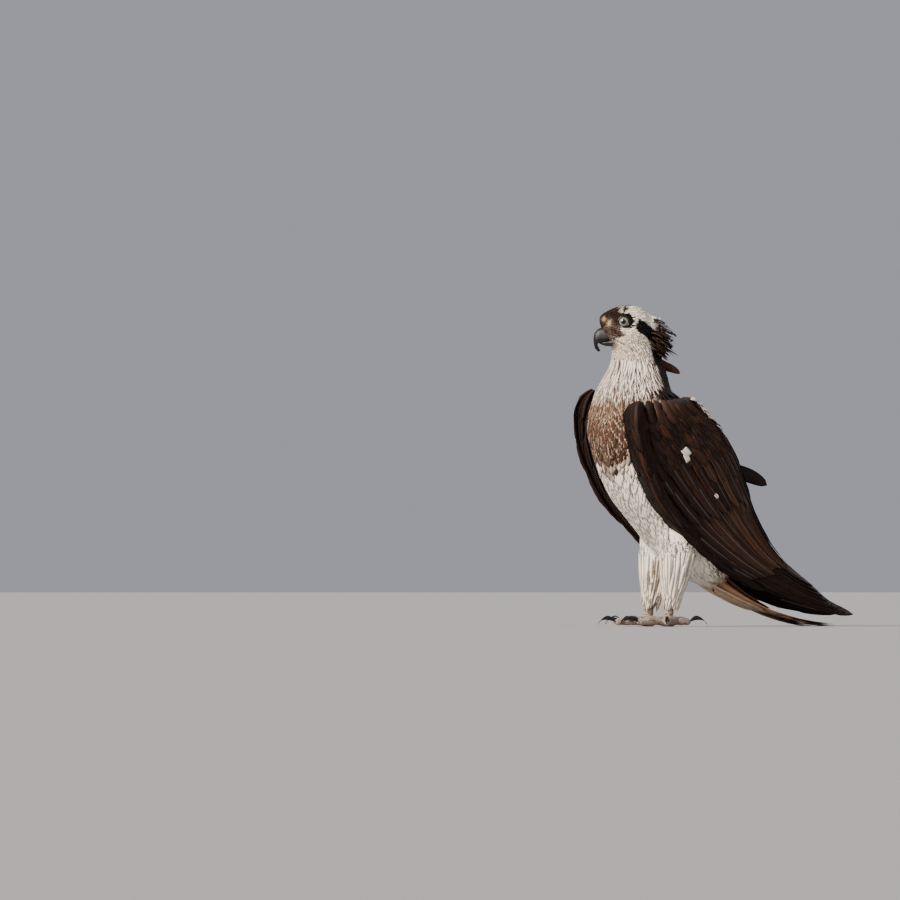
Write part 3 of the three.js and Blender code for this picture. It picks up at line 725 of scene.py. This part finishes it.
def wingFeathers(side):
    n = primaries["count"]
    share = np.linspace(0, 1, n)
    lanes = np.stack([mix(0.48, 0.52, share), mix(*primaries["rootTurn"], share),
                      mix(*primaries["tips"], share ** 0.9), mix(*primaries["tipTurn"], share)], 1)
    lift = 0.8 + primaries["stack"] * np.arange(n)[:, None] * 0.8
    laneFeathers("primaries_" + side, side, lanes, 30, lift, 0.6, shafted, np.full(n, 11.5), 0.42,
                 darkShade(0.8, paint.brown, 0.15, 0.1))
    for tier, (count, first, last, lift) in tiers.items():
        share = np.linspace(0, 1, count)[:, None]
        lanes = mix(np.array(first, float)[None], np.array(last, float)[None], share)
        lanes[:, 2] += random.uniform(-0.014, 0.014, count)
        lanes[1:-1, 3] += random.uniform(-1.6, 1.6, count - 2)
        roots = wingFace(side, lanes[:, 0], lanes[:, 1])
        pitch = np.linalg.norm(np.diff(roots, axis=0), axis=1).mean()
        laneFeathers(tier + "_" + side, side, lanes, 24, lift, 1.0, shafted,
                     np.full(count, pitch * 0.72), 0.3, darkShade(0.74, paint.rufous, 0.1, 0.5))
    lanes = []
    for row in range(lesser["rows"]):
        u = mix(*lesser["shares"], row / (lesser["rows"] - 1))
        count = lesser["count"] - row % 2
        for i in range(count):
            turn = mix(-46 * (1 - row / lesser["rows"]) - 8, 88, (i + 0.5 * (row % 2)) / (count - 1))
            lanes.append((u, turn + random.uniform(-1, 1), u + random.uniform(0.085, 0.11), turn + 1))
    lanes = np.array(lanes[::-1])
    laneFeathers("lesserCoverts_" + side, side, lanes, 12, 2.4, 0.9, lens,
                 random.uniform(8, 10, len(lanes)), 0.45, darkShade(0.72, paint.rufous, 0.0, 0.4))
    # small coverts wrap the leading edge
    lanes = []
    for row in range(leading["rows"]):
        u = mix(*leading["shares"], (row / (leading["rows"] - 1)) ** 1.15)
        for i in range(leading["count"]):
            turn = mix(*leading["turns"], (i + 0.5 * (row % 2)) / leading["count"])
            lanes.append((u, turn, u + random.uniform(0.09, 0.12), turn + random.uniform(0, 5)))
    lanes = np.array(lanes[::-1])
    laneFeathers("edgeCoverts_" + side, side, lanes, 12, 1.8, 0.8, lens,
                 random.uniform(6, 8, len(lanes)), 0.5, darkShade(0.74, paint.brown, warm=0.2))


for side in hands:
    wingBody(side)
    wingFeathers(side)
print("wings")


# tail

tail = {
    "root": (0, 66, 68.2),
    "length": 206,
    "slope": (36, 2.5),
    "steering": [4, 9, 14, 19, 23, 26.5],  # mm from the middle at the tip
    "bodyEnd": 0.7,
    "droop": 0.003,  # how the sides fall, by the square of the way out
}


# the tail bends evenly from its first slope to its last
def tailLine(share):
    start, end = tail["slope"]
    bend = tail["length"] / math.radians(start - end)
    now = np.radians(mix(start, end, share))
    first = math.radians(start)
    return (tail["root"][1] + bend * (math.sin(first) - np.sin(now)),
            tail["root"][2] - bend * (np.cos(now) - math.cos(first)), now)


# lanes: root's x and share, tip's x and share, rise, half width
def tailRow(name, lanes, rows, shape, lift, tint, edge, look, bake, section, thick):
    s = np.linspace(0, 1, rows)
    x = mix(lanes[:, 0:1], lanes[:, 2:3], s[None])
    y, z, slope = tailLine(mix(lanes[:, 1:2], lanes[:, 3:4], s[None]))
    paths = np.stack([x, y, z - tail["droop"] * x * x], -1)
    normals = np.stack([np.zeros_like(x), np.sin(slope), np.cos(slope)], -1)
    across, along = bake
    spots = np.stack([0.5 + lanes[:, 0] * across, np.full(len(lanes), 0.0) + along], 1)
    thing = featherMesh(name, paths, normals, lanes[:, 5:6] * outline(rows, *shape)[None], spots, tint,
                        edge, lookOf(len(lanes), *look), section, thick, 0.03,
                        lanes[:, 4:5] * lift(s)[None])
    settle(thing, "plumage_barred")


def tailFeathers():
    def place(share, angle):
        u = share * tail["bodyEnd"]
        y, z, slope = tailLine(u)
        full = roundEnds(share, 0.1, 0.1)
        wide = mix(18, 27, u) * full
        thick = mix(9, 0.8, min(share * 1.2, 1)) * full
        c, s = math.cos(angle), math.sin(angle)
        return np.array([wide * c, y + thick * s * math.sin(slope),
                         z + thick * s * math.cos(slope) - tail["droop"] * (wide * c) ** 2 + 0.4])

    flesh = tubePiece("tailFlesh", place, 24, 24, down)
    tinted(flesh, np.tile(mix(paint.buff, paint.brown, 0.4), (len(flesh.data.vertices), 1)))
    settle(flesh, "plumage_barred", "tail")

    lanes = []
    for i, x in enumerate(tail["steering"]):
        for hand in (-1, 1):
            lanes.append((hand * x * 0.5, 0.18, hand * x, 0.995 - i * 0.005, 2.4 - 0.75 * i, 7.8))
    n = len(lanes)
    tint = np.tile(mix(paint.buff, paint.brown, 0.35), (n, 1)) * random.uniform(0.9, 1.1, (n, 1))
    tailRow("steeringFeathers", np.array(lanes), 16, (0.5, 0.22), lambda s: smooth(0, 0.4, s), tint,
            np.tile(paint.brown, (n, 1)), (0.9, 0.85, 0.95), (0.01, 0.97), shafted, 0.6)

    # coverts over and under the roots of the steering feathers
    lanes = []
    for first, last, height in ((0.0, 0.34, 6.5), (0.08, 0.46, 5.0), (0.14, 0.52, 3.6)):
        for i in range(7):
            x = mix(-1, 1, i / 6)
            lanes.append((x * 15, first, x * 22, last - abs(x) * 0.06 + random.uniform(-0.02, 0.02),
                          height, 6.5))
            lanes.append((x * 15, first, x * 21, last - abs(x) * 0.08 + random.uniform(-0.02, 0.02),
                          -height, 6.5))
    lanes = np.array(lanes)
    upper = lanes[:, 4:5] > 0
    tint = np.where(upper, paint.brown * 0.8, mix(paint.cream, paint.buff, 0.45))
    tailRow("tailCoverts", lanes, 9, (0.4, 0.45), lambda s: mix(1.6, 0.75, s), tint,
            np.where(upper, paint.rufous, paint.cream), (0.7, 0.1, 0.0),
            (0.012, 0.93 + 0.02 * upper[:, 0]), lens, 0.5)


tailFeathers()
print("tail")


# contour feathers over the skin

tree = BVHTree.FromPolygons([Vector(v) for v in toOwn(readAll(skinPiece.data.vertices, "co"))],
                            [tuple(p.vertices) for p in skinPiece.data.polygons])
billBase = fromHead((42, 0, -6))


# the way the coat lies: back from the bill on the head, down the neck and body, back to the tail
def lie(points):
    away = unit(points - billBase) - (0, 0, 0.25)
    z = points[:, 2:3]
    backward = np.where(z < 150, 0.75, 0.3) * smooth(-60, 60, points[:, 1:2])
    body = np.concatenate([np.zeros_like(z), backward, np.full_like(z, -1.0)], 1)
    legs = smooth(30, 10, np.abs(np.abs(points[:, 0:1]) - pose["legX"])) * smooth(130, 90, z)
    legs *= points[:, 1:2] < 45
    body = mix(body, np.array([[0, 0.1, -1.0]]), legs)
    return mix(body, away, smooth(332, 368, z))


# roots spread over the skin, no two nearer than the spacing
def scatter(spacing, keep, seed):
    points = toOwn(readAll(skinPiece.data.vertices, "co"))
    skinPiece.data.calc_loop_triangles()
    tris = readAll(skinPiece.data.loop_triangles, "vertices", np.int32)
    a, b, c = (points[tris[:, i]] for i in range(3))
    area = np.linalg.norm(np.cross(b - a, c - a), axis=1) / 2
    middle = (a + b + c) / 3
    wanted = np.where(keep(middle), area / (spacing(middle) ** 2 * 0.8), 0) * 2.2
    picker = np.random.default_rng(seed)
    number = picker.poisson(wanted)
    which = np.repeat(np.arange(len(tris)), number)
    picker.shuffle(which)
    r = np.sqrt(picker.random((len(which), 1)))
    t = picker.random((len(which), 1))
    spots = a[which] * (1 - r) + b[which] * r * (1 - t) + c[which] * r * t
    gaps = spacing(spots)
    grid, chosen = {}, []
    cell = 6.0  # mm, more than any spacing
    beside = list(itertools.product((-1, 0, 1), repeat=3))
    for i, ((x, y, z), gap) in enumerate(zip(spots.tolist(), gaps)):
        key = int(x // cell), int(y // cell), int(z // cell)
        near = (other for dx, dy, dz in beside
                for other in grid.get((key[0] + dx, key[1] + dy, key[2] + dz), ()))
        if all((x - a) ** 2 + (y - b) ** 2 + (z - c) ** 2 >= gap * gap for a, b, c in near):
            grid.setdefault(key, []).append((x, y, z))
            chosen.append(i)
    return spots[chosen]


# paths that follow the skin from the roots, the way the coat lies
def walk(roots, length, rows, jitter):
    n = len(roots)
    paths = np.empty((n, rows, 3))
    normals = np.empty((n, rows, 3))
    here = roots.copy()
    turn = random.normal(0, jitter, (n, 1))
    step = length[:, None] / (rows - 1)
    for row in range(rows):
        for i in range(n):
            spot, normal, _, _ = tree.find_nearest(here[i])
            paths[i, row] = spot
            normals[i, row] = normal
        way, normal = lie(paths[:, row]), normals[:, row]
        way = unit(way - normal * np.einsum("ij,ij->i", way, normal)[:, None])
        way = way + np.cross(normal, way) * turn
        here = paths[:, row] + way * step
    return paths, normals


# the skin unrolled round the line up the middle of the body
def unwrap(points):
    middle = np.interp(points[:, 2], [60, 190, 390], [60, 5, -40])
    angle = np.arctan2(points[:, 0], -(points[:, 1] - middle))
    return np.stack([0.5 + angle / (2 * math.pi) * 0.97, 0.02 + points[:, 2] / 420 * 0.9], 1)


# small feathers over a band of the skin: spacing, length, width and rise of the tips in mm
def contour(name, low, high, shade, seed, spacing, length, width, rise, rows, jitter, where=None,
            blunt=0.55, thick=0.3, sunk=0.0):
    spacing, length, width, rise = (size if callable(size) else even(size)
                                    for size in (spacing, length, width, rise))

    def keep(points):
        x, y, z = points.T
        underWing = (np.abs(x) > 34) & (y > -20) & (z < 285) & (z > 130)
        return (z >= low) & (z < high) & ~underWing & (where(points) if where else True)

    roots = scatter(spacing, keep, seed)
    n = len(roots)
    sizes = length(roots) * random.uniform(0.85, 1.12, n)
    paths, normals = walk(roots, sizes, rows, jitter)
    s = np.linspace(0, 1, rows)
    half = (width(roots) * random.uniform(0.85, 1.1, n) / 2)[:, None] * outline(rows, 0.45, blunt)[None]
    lift = (rise(roots) * random.uniform(0.6, 1.3, n))[:, None] * s[None] ** 1.2
    lift = lift + 0.5 * smooth(0, 0.3, s) - 0.5 - sunk
    tint, edge, look = shade(paths[:, max(1, rows // 3)])
    settle(featherMesh(name, paths, normals, half, unwrap(roots), tint, edge, look, lens, thick,
                       0.1, lift), "plumage_pale")
    print(name, n)


def plainShade(middles):
    n = len(middles)
    base = plumage(middles) * random.uniform(0.88, 1.08, (n, 1))
    return base, np.clip(base * 1.18, 0, 0.9), lookOf(n, 0.75)


# neck and breast feathers: a brown streak down the middle with cream edges
def streakShade(middles):
    n = len(middles)
    base = plumage(middles)
    z = middles[:, 2]
    pale = base.mean(1) > 0.25
    napeY = napeLine(z)[:, 1]
    side = smooth(18, 2, np.abs(middles[:, 1] - napeY))
    chance = smooth(356, 304, z) * 0.72 + side * 0.6 * smooth(365, 345, z)
    chance = np.where(z < 300, 0.93 * smooth(214, 226, z) + 0.03, chance)
    streaked = (random.random(n) < chance) & (z > 205)
    streak = mix(paint.brown, paint.dark, random.uniform(0, 0.8, (n, 1)))
    rufous = mix(paint.rufous, paint.brown, random.uniform(0, 1, (n, 1)))
    core = np.where((z < 302)[:, None], mix(rufous, paint.brown, 0.65) * 0.9, streak)
    band = smooth(252, 228, z)[:, None]
    core = mix(core, paint.brown * 0.6, band)
    dark = streaked & (pale | (z < 305)) & (middles[:, 1] < napeY + 4)
    tint = np.where(dark[:, None], core, base) * random.uniform(0.9, 1.08, (n, 1))
    isBack = middles[:, 1] > napeY + 2
    onBreast = (z < 302)[:, None]
    rim = mix(paint.cream, paint.buff, random.uniform(0, 0.8, (n, 1)))
    rim = np.where(onBreast, rim, paint.white)
    rim = mix(rim, paint.buff * 0.8, band * 0.4)
    tint = np.where(isBack[:, None], mix(base, paint.brown, random.uniform(0, 0.5, (n, 1))), tint)
    edge = np.where(isBack[:, None], mix(base, paint.rufous, 0.5), rim)
    start = np.where(z < 300, random.uniform(0.36, 0.62, n), random.uniform(0.2, 0.5, n))
    start = np.where(isBack, 0.75, np.where(streaked, start, 0.6))
    return tint, edge, lookOf(n, start)


def bellyShade(middles):
    n = len(middles)
    base = plumage(middles) * random.uniform(0.98, 1.04, (n, 1))
    x, _, z = middles.T
    flank = (z > 112) & (z < 165) & (x > 12) & (random.random(n) < 0.10)
    tint = np.where(flank[:, None], mix(base, paint.brown, 0.75), base)
    return tint, np.clip(base * 1.05, 0, 0.9), lookOf(n, np.where(flank, 0.2, 0.7))


def even(value):
    return lambda points: np.full(len(points), float(value))


def headSize(points):
    f, _, u = toHead(points).T
    nearEye = smooth(22, 11, np.hypot(f - 3.8, u - 9.6))
    size = mix(mix(12.0, 5.5, smooth(-10, 26, f)), 16.0, smooth(-10, -32, f) * smooth(4, -12, u))
    size = mix(size, 6.0, smooth(-10, -24, f) * smooth(-6, 4, u))
    return (1 - 0.45 * nearEye) * size


# the face's feathers leave the eye and the back of the crown free
def onFace(points):
    f, _, u = toHead(points).T
    return (np.hypot(f - 8.0, u - 8.2) > 7.6) & ~((f < -24) & (u > 2))


contour("faceFeathers", 352, 430, plainShade, 3, length=headSize, width=lambda p: headSize(p) * 0.34,
        spacing=lambda p: mix(2.3, 1.3, smooth(-12, 14, toHead(p)[:, 0])), rise=1.1,
        rows=4, jitter=0.08, where=onFace)

def neckLength(points):
    toNape = napeLine(points[:, 2])[:, 1] - points[:, 1]
    return mix(31.0, 15.0, smooth(18, 5, toNape) * smooth(334, 322, points[:, 2]))


contour("neckFeathers", 296, 356, streakShade, 4, spacing=2.45, length=neckLength, width=4.2, rise=1.3,
        rows=6, jitter=0.07, blunt=0.8)
contour("capeFeathers", 294, 322, plainShade, 8, spacing=3.8, length=27, width=11, rise=4.2,
        rows=6, jitter=0.12, where=lambda p: p[:, 1] > napeLine(p[:, 2])[:, 1] + 1, blunt=0.6)
contour("breastFeathers", 218, 302, streakShade, 5, spacing=4.1, length=27, width=10.5, rise=1.2,
        rows=6, jitter=0.12, where=lambda p: p[:, 1] < 0, blunt=0.65)
contour("mantleFeathers", 205, 302, plainShade, 6, spacing=5.0, length=28, width=15, rise=2.2,
        rows=5, jitter=0.1, where=lambda p: p[:, 1] >= 0)
contour("bellyFeathers", 40, 228, bellyShade, 7, spacing=3.8, length=42, width=10, rise=0.4,
        rows=7, jitter=0.03, blunt=0.8, thick=0.16, sunk=0.1)


# crest: narrow pointed feathers that stand off the nape

crest = {
    # how many feathers, and from where to where in the head's own frame
    "locks": [
        (9, (-29, 7, 7), (-52, 8, -1)), (9, (-30, -6, 6), (-54, -8, -3)),
        (18, (-33, 0, 0), (-63, 1, -10)), (18, (-30, 11, -6), (-57, 13, -16)),
        (18, (-31, -11, -8), (-55, -14, -20)),
        (18, (-33, 4, -14), (-60, 5, -28)), (18, (-32, -5, -20), (-57, -6, -33)),
        (18, (-27, 16, -16), (-48, 19, -30)), (18, (-27, -16, -18), (-47, -20, -33)),
        (18, (-31, 9, -24), (-53, 11, -38))],
    "spread": 3.6,
    "arch": 2.6,
}


def bowed(roots, tips, bow, rows):
    s = np.linspace(0, 1, rows)[None, :, None]
    return mix(roots[:, None], tips[:, None], s) + bow[:, None] * 4 * s * (1 - s)


def crestFeathers():
    roots, tips = [], []
    for count, root, tip in crest["locks"]:
        for _ in range(count):
            off = random.normal(0, 1, 3) * crest["spread"]
            reach = (np.array(tip) - root) * random.uniform(0.6, 1.0)
            roots.append(np.array(root) + off)
            tips.append(np.array(root) + reach + off * 0.9 + random.normal(0, 1.2, 3))
    roots, tips = fromHead(np.array(roots)), fromHead(np.array(tips))
    n, rows = len(roots), 6
    paths = bowed(roots, tips, np.array([[0, 0, crest["arch"]]]), rows)
    centre = np.array([-4, -36, 372.0])
    normals = np.tile((paths[:, :1] - centre), (1, rows, 1)) + np.array([0, 0, 30.0])
    normals = unit(normals + random.normal(0, 8, (n, 1, 3)))
    half = random.uniform(1.8, 3.2, (n, 1)) * outline(rows, 0.3, 0.8)[None]
    tint = np.tile(paint.dark, (n, 1)) * random.uniform(0.7, 1.3, (n, 1))
    white = (toHead(roots)[:, 2] > 11)[:, None]
    tint = np.where(white & (random.random((n, 1)) < 0.4), paint.white, tint)
    edge = mix(paint.rufous, paint.buff, random.uniform(0, 1, (n, 1)))
    edge = edge * random.uniform(0.3, 1, (n, 1))
    look = lookOf(n, random.uniform(0.55, 0.95, n))
    settle(featherMesh("crestFeathers", paths, normals, half, unwrap(roots), tint, edge, look,
                       camber=0.15), "plumage_pale")


crestFeathers()
print("crest")


# loose feathers that the wind or preening has lifted

def looseFeathers(name, paths, normals, half, tint, edge, start, blunt, section=lens,
                  slot="plumage_dark"):
    n, rows = paths.shape[:2]
    widths = half[:, None] * np.array([outline(rows, 0.3, b) for b in blunt])
    settle(featherMesh(name, paths, normals, widths, unwrap(paths[:, 0]), tint, edge,
                       lookOf(n, start), section, 0.4, 0.03), slot)


# one tertial stands off the back, and one brown feather off the nape
stray = bowed(np.array([(5.0, 84, 206), (-6, -3, 340), (-2, -8, 345)]),
              np.array([(14.0, 152, 184), (-2, 31, 329), (2, 18, 333)]),
              np.array([(1.5, 1, 4), (0, 1, 2.5), (0, 1, 2.0)]), 14)
strayTint = np.array([paint.dark, mix(paint.rufous, paint.brown, 0.75), paint.brown])
looseFeathers("strayFeathers", stray, np.tile([0.88, -0.47, 0.05], (3, 14, 1)),
              np.array([9.5, 6.4, 5.0]), strayTint, strayTint * 1.2, 0.8, (0.5, 0.95, 0.95), shafted)


def whitePatches():
    # small white covert patch on the left wing, and ruffled white ones along the back
    u, turn = np.meshgrid(np.linspace(0.02, 0.5, 97), np.linspace(0, 88, 89), indexing="ij")
    face = wingFace("left", u, turn)
    across = 0.469 * face[..., 0] + 0.883 * face[..., 1]  # as seen from the photo's side
    lanes = []
    for h, z, count, spread in ((27, 230, 8, 2.3), (28, 224, 8, 2.0), (70, 172, 2, 0.8)):
        at = np.argmin((across - h) ** 2 + (face[..., 2] - z) ** 2)
        for _ in range(count):
            lanes.append((u.flat[at], turn.flat[at], 12.0 if count > 2 else 7, spread, 4.2))
    for _ in range(120):
        share, angle, length = random.uniform((0.02, 66, 10), (0.19, 92, 17))
        lanes.append((share, angle, length, 2.0, random.uniform(2.6, 6)))
    roots, tips, normals = [], [], []
    for share, angle, length, spread, lift in lanes:
        root = wingFace("left", share, min(angle, 90))
        normal = wingNormal("left", share, min(angle, 88))
        way = unit(wingFace("left", share + 0.02, min(angle, 90)) - root)
        beside = np.cross(normal, way)
        root = root + beside * random.normal(0, 1) * spread + normal * (lift - 2)
        roots.append(root)
        tips.append(root + way * length + normal * 1.5 + beside * random.normal(0, 0.22) * length)
        normals.append(normal)
    n = len(lanes)
    paths = bowed(np.array(roots), np.array(tips), np.array(normals) * 1.2, 7)
    tint = np.tile(paint.white, (n, 1)) * random.uniform(0.85, 1.05, (n, 1))
    edge = tint.copy()
    someDark = (np.arange(n) >= 18) & (random.random(n) < 0.4)
    tint[someDark], edge[someDark] = paint.dark, paint.brown
    looseFeathers("whitePatches", paths, np.repeat(np.array(normals)[:, None], 7, 1),
                  np.array([lane[2] * 0.17 for lane in lanes]), tint, edge, 0.7, np.full(n, 0.75))


whitePatches()


# the thighs' long white feathers hang round the tops of the legs
legCoat = {
    "perLeg": 430,
    # by height: half width, half depth and how far behind the leg
    "thigh": track([(52, 11, 12, 0), (58, 14, 15, 0), (72, 19, 21, 1), (95, 25, 28, 4)]),
}


def trousers():
    roots, tips, outs = [], [], []
    for hand in hands.values():
        for _ in range(legCoat["perLeg"]):
            a, z = random.uniform(0, 2 * math.pi), random.uniform(54, 98)
            wide, deep, behind = legCoat["thigh"](z)
            root = (hand * pose["legX"] + (wide - 2.5) * math.cos(a),
                    8 + behind + (deep - 2.5) * math.sin(a), z)
            end = random.uniform(18, 38) + (z - 56) * 0.45
            r = random.uniform(10.0, 10.7) + (end - 22) * 0.16
            b = a + random.normal(0, 0.1)
            tip = (hand * pose["legX"] + r * math.cos(b), 0.5 + (end - 22) * 0.1 + r * math.sin(b), end)
            roots.append(root)
            tips.append(tip)
            outs.append((math.cos(a), math.sin(a), 0.15))
    n = len(roots)
    outs = np.array(outs)
    paths = bowed(np.array(roots), np.array(tips), outs * random.uniform(0.7, 1.2, (n, 1)), 7)
    tint = mix(paint.white, paint.cream, random.uniform(0, 0.6, (n, 1)))
    looseFeathers("legFeathers", paths, np.repeat(outs[:, None], 7, 1),
                  random.uniform(2.3, 4.0, n), tint, tint * 1.05, 0.7, np.full(n, 0.8),
                  slot="plumage_pale")


trousers()
print("loose feathers")


# bill, eyes

# along the bill: share, forward, upper and lower edge, half width
upperBill = track([(0, 10, -5, -10, 0), (0.15, 14, 0, -13, 8.8), (0.4, 25, 2.5, -16, 8.6),
                   (0.6, 33.5, 2, -18, 7.4), (0.75, 40, -2, -19, 5.6), (0.87, 42.8, -10, -21.5, 3.7),
                   (0.95, 41.8, -19.5, -26, 2.2), (1, 39.2, -30, -30.6, 0)])
lowerBill = track([(0, 12, -15, -20, 0), (0.2, 16, -13, -22.6, 7.4), (0.6, 26, -14.4, -23.2, 6.4),
                   (0.85, 33.5, -16.6, -21.8, 4), (1, 38.6, -18.4, -19.4, 0)])


def perVertex(thing, key, values):
    thing.data.attributes.new(key, "FLOAT", "POINT").data.foreach_set("value", values)


def makeBill():
    def upperPlace(share, angle):
        forward, ridge, edge, half = upperBill(share)
        c, s = math.cos(angle), math.sin(angle)
        middle = mix(edge, ridge, 0.3)
        up = middle + (ridge - middle) * s if s > 0 else middle + (middle - edge) * s
        hook = min(max((share - 0.65) / 0.3, 0), 1) * 3.6 * s
        side = half * math.copysign(abs(c) ** 0.85, c)
        return fromHead([forward + hook, side, up])

    def lowerPlace(share, angle):
        forward, top, bottom, half = lowerBill(share)
        return fromHead([forward, half * math.cos(angle),
                         (top + bottom) / 2 + (top - bottom) / 2 * math.sin(angle)])

    upper = tubePiece("billUpper", upperPlace, 40, 56, billHorn)
    lower = tubePiece("billLower", lowerPlace, 32, 32, billHorn)

    # the bare grey skin at its base, with the nostril's slit
    def cere(thing):
        f, l, u = toHead(toOwn(readAll(thing.data.vertices, "co"))).T
        part = smooth(35, 31, f + 0.15 * u) * smooth(-15, -11, u) * 0.75
        slit = np.exp(-(((f - 30) / 1.9) ** 2 + ((u + 4.5 - (f - 30) * 0.4) / 0.9) ** 2)) * (abs(l) > 3)
        return np.clip(part - slit * 2, -0.5, 1)

    perVertex(upper, "pale", cere(upper))
    lowerForward = toHead(toOwn(readAll(lower.data.vertices, "co")))[:, 0]
    perVertex(lower, "pale", 0.35 * smooth(34, 24, lowerForward))
    settle(upper, "bill_horn", "bill_upper")
    settle(lower, "bill_horn", "bill_lower")


lids = {"opening": 7.0, "thick": 1.35, "out": 6.0}


def makeEyes():
    for side, hand in hands.items():
        forward, left, up = pose["eyeSeat"]
        centre = fromHead((forward, hand * left, up))
        axis = unit(turnFromHead(np.array(pose["gaze"]) * (1, hand, 1)))
        work = bmesh.new()
        bmesh.ops.create_uvsphere(work, u_segments=48, v_segments=32, radius=1)
        gaze = []
        toward = Vector((0, 0, 1)).rotation_difference(Vector(axis))
        for v in work.verts:
            spot = toward @ v.co
            apart = math.acos(max(-1, min(1, spot.dot(Vector(axis)))))
            bulge = 1 + 0.05 * max(0, math.cos(min(apart * 1.7, math.pi / 2)))
            v.co = Vector(toWorld(centre + np.array(spot) * pose["eyeRadius"] * bulge))
            gaze.append(math.sin(min(apart, math.pi / 2)))
        eyeball = newThing("eyeball_" + side, meshOf(work, "eyeball_" + side), wetEye)
        perVertex(eyeball, "gaze", gaze)
        settle(eyeball, "eye", "eye_" + side)

        # bare dark lids
        work = bmesh.new()
        bmesh.ops.create_circle(work, cap_ends=False, radius=lids["thick"], segments=12)
        for v in work.verts:
            v.co = Vector((v.co.x * 0.95 + lids["opening"], 0, v.co.y))
        bmesh.ops.spin(work, geom=work.edges[:] + work.verts[:], cent=(0, 0, 0), axis=(0, 0, 1),
                       angle=2 * math.pi, steps=48, use_merge=True)
        bmesh.ops.remove_doubles(work, verts=work.verts, dist=1e-4)
        bmesh.ops.recalc_face_normals(work, faces=work.faces)
        for v in work.verts:
            spot = toward @ Vector((v.co.x, v.co.y, v.co.z + lids["out"]))
            v.co = Vector(toWorld(centre + np.array(spot)))
        ring = newThing("lids_" + side, meshOf(work, "lids_" + side), clawHorn)
        perVertex(ring, "pale", np.zeros(len(ring.data.vertices)))
        settle(ring, "bill_horn")


makeBill()
makeEyes()
print("bill and eyes")


# legs, feet and claws

# heading in degrees and length of each toe
toes = {"inner": (-24, 40), "middle": (4, 52), "outer": (58, 44), "hind": (171, 32)}
claw = {"arc": 115, "length": 30, "lift": 48, "rise": 6.4, "footY": -2}


def makeLegs():
    for side, hand in hands.items():
        nodes = ["tarsus_" + side, "foot_" + side]
        thing = remeshed("foot_" + side + "Skin", nodes, 0.0011, 0.0003, scales)
        relax(thing, 3)
        points = readAll(thing.data.vertices, "co")
        points[:, 2] = np.maximum(points[:, 2], 0)
        thing.data.vertices.foreach_set("co", points.astype(np.float32).ravel())
        settle(thing, "leg_skin", *nodes)
        for name, (heading, length) in toes.items():
            a = math.radians(heading)
            way = np.array([hand * math.sin(a), -math.cos(a), 0])
            across = np.array([-way[1], way[0], 0])
            bend = claw["length"] / math.radians(claw["arc"])
            lift = math.radians(claw["lift"])

            def place(share, angle):
                now = math.radians(claw["lift"] - claw["arc"] * share)
                run = length - 4 + bend * (math.sin(lift) - math.sin(now))
                up = claw["rise"] - bend * (math.cos(lift) - math.cos(now))
                radius = 0 if share in (0, 1) else mix(3.9, 0.7, share ** 1.3)
                out, beside = radius * math.sin(angle), radius * 0.8 * math.cos(angle)
                root = np.array([hand * pose["legX"], claw["footY"], 0])
                return (root + way * (run + out * math.sin(now)) + across * beside
                        + np.array([0, 0, up + out * math.cos(now)]))

            nail = tubePiece("claw_" + side + name.title(), place, 16, 24, clawHorn)
            perVertex(nail, "pale", np.zeros(len(nail.data.vertices)))
            settle(nail, "claw_horn", "claw_" + side + "_" + name)


makeLegs()
print("legs")


# stage

stage = {
    "azimuth": 62,
    "distance": 14.0,  # metres: a long lens, as in the photo
    "millimetresAPixel": 1.30,
    "imageX": 660,  # where the bird's own origin stands in the photo
    "imageY": 626.5,
    "cameraHeight": 0.06,
    "floor": 40,  # metres
}


def makeStage():
    scene = bpy.context.scene
    work = bmesh.new()
    bmesh.ops.create_circle(work, cap_ends=True, radius=stage["floor"], segments=96)
    # matt pale paper, as in a studio
    paper = newMaterial("palePaperFloor", {"Roughness": 0.9, "Base Color": (*srgb("#9a9a9c"), 1)})[0]
    newThing("floor", meshOf(work, "floor"), paper)

    world = bpy.data.worlds.new("softGrey")
    world.use_nodes = True
    sky = world.node_tree.nodes["Background"].inputs
    sky["Color"].default_value, sky["Strength"].default_value = (*srgb("#a0a0a8"), 1), 1.0
    scene.world = world

    a = math.radians(stage["azimuth"])
    beside = Vector((math.cos(a), math.sin(a), 0))
    h = (450 - stage["imageX"]) * stage["millimetresAPixel"]
    z = (stage["imageY"] - 450) * stage["millimetresAPixel"]
    target = Vector(toWorld(np.array([beside.x * h, beside.y * h, z])))
    back = Vector((math.sin(a), -math.cos(a), 0))
    place = target + back * stage["distance"]
    place.z = stage["cameraHeight"]
    view = bpy.data.cameras.new("longLens")
    view.sensor_width = 36
    far = (place - target).length
    view.lens = 36 * far / (0.9 * stage["millimetresAPixel"])
    view.clip_start, view.clip_end = 1, 200
    camera = bpy.data.objects.new("camera", view)
    camera.location = place
    camera.rotation_euler = (target - place).to_track_quat("-Z", "Y").to_euler()
    scene.collection.objects.link(camera)
    scene.camera = camera

    def light(name, azimuth, elevation, angle, strength, colour):
        lamp = bpy.data.lights.new(name, "SUN")
        lamp.angle, lamp.energy, lamp.color = math.radians(angle), strength, colour
        thing = bpy.data.objects.new(name, lamp)
        b, e = math.radians(azimuth), math.radians(elevation)
        way = Vector((math.sin(b) * math.cos(e), -math.cos(b) * math.cos(e), math.sin(e)))
        thing.rotation_euler = (-way).to_track_quat("-Z", "Y").to_euler()
        scene.collection.objects.link(thing)

    light("key", 12, 30, 32, 7.2, (1.0, 0.9, 0.79))
    light("fill", 95, 25, 60, 0.55, (0.93, 0.96, 1.0))
    light("rim", 220, 45, 30, 0.5, (1.0, 0.98, 0.95))


makeStage()
print("stage")
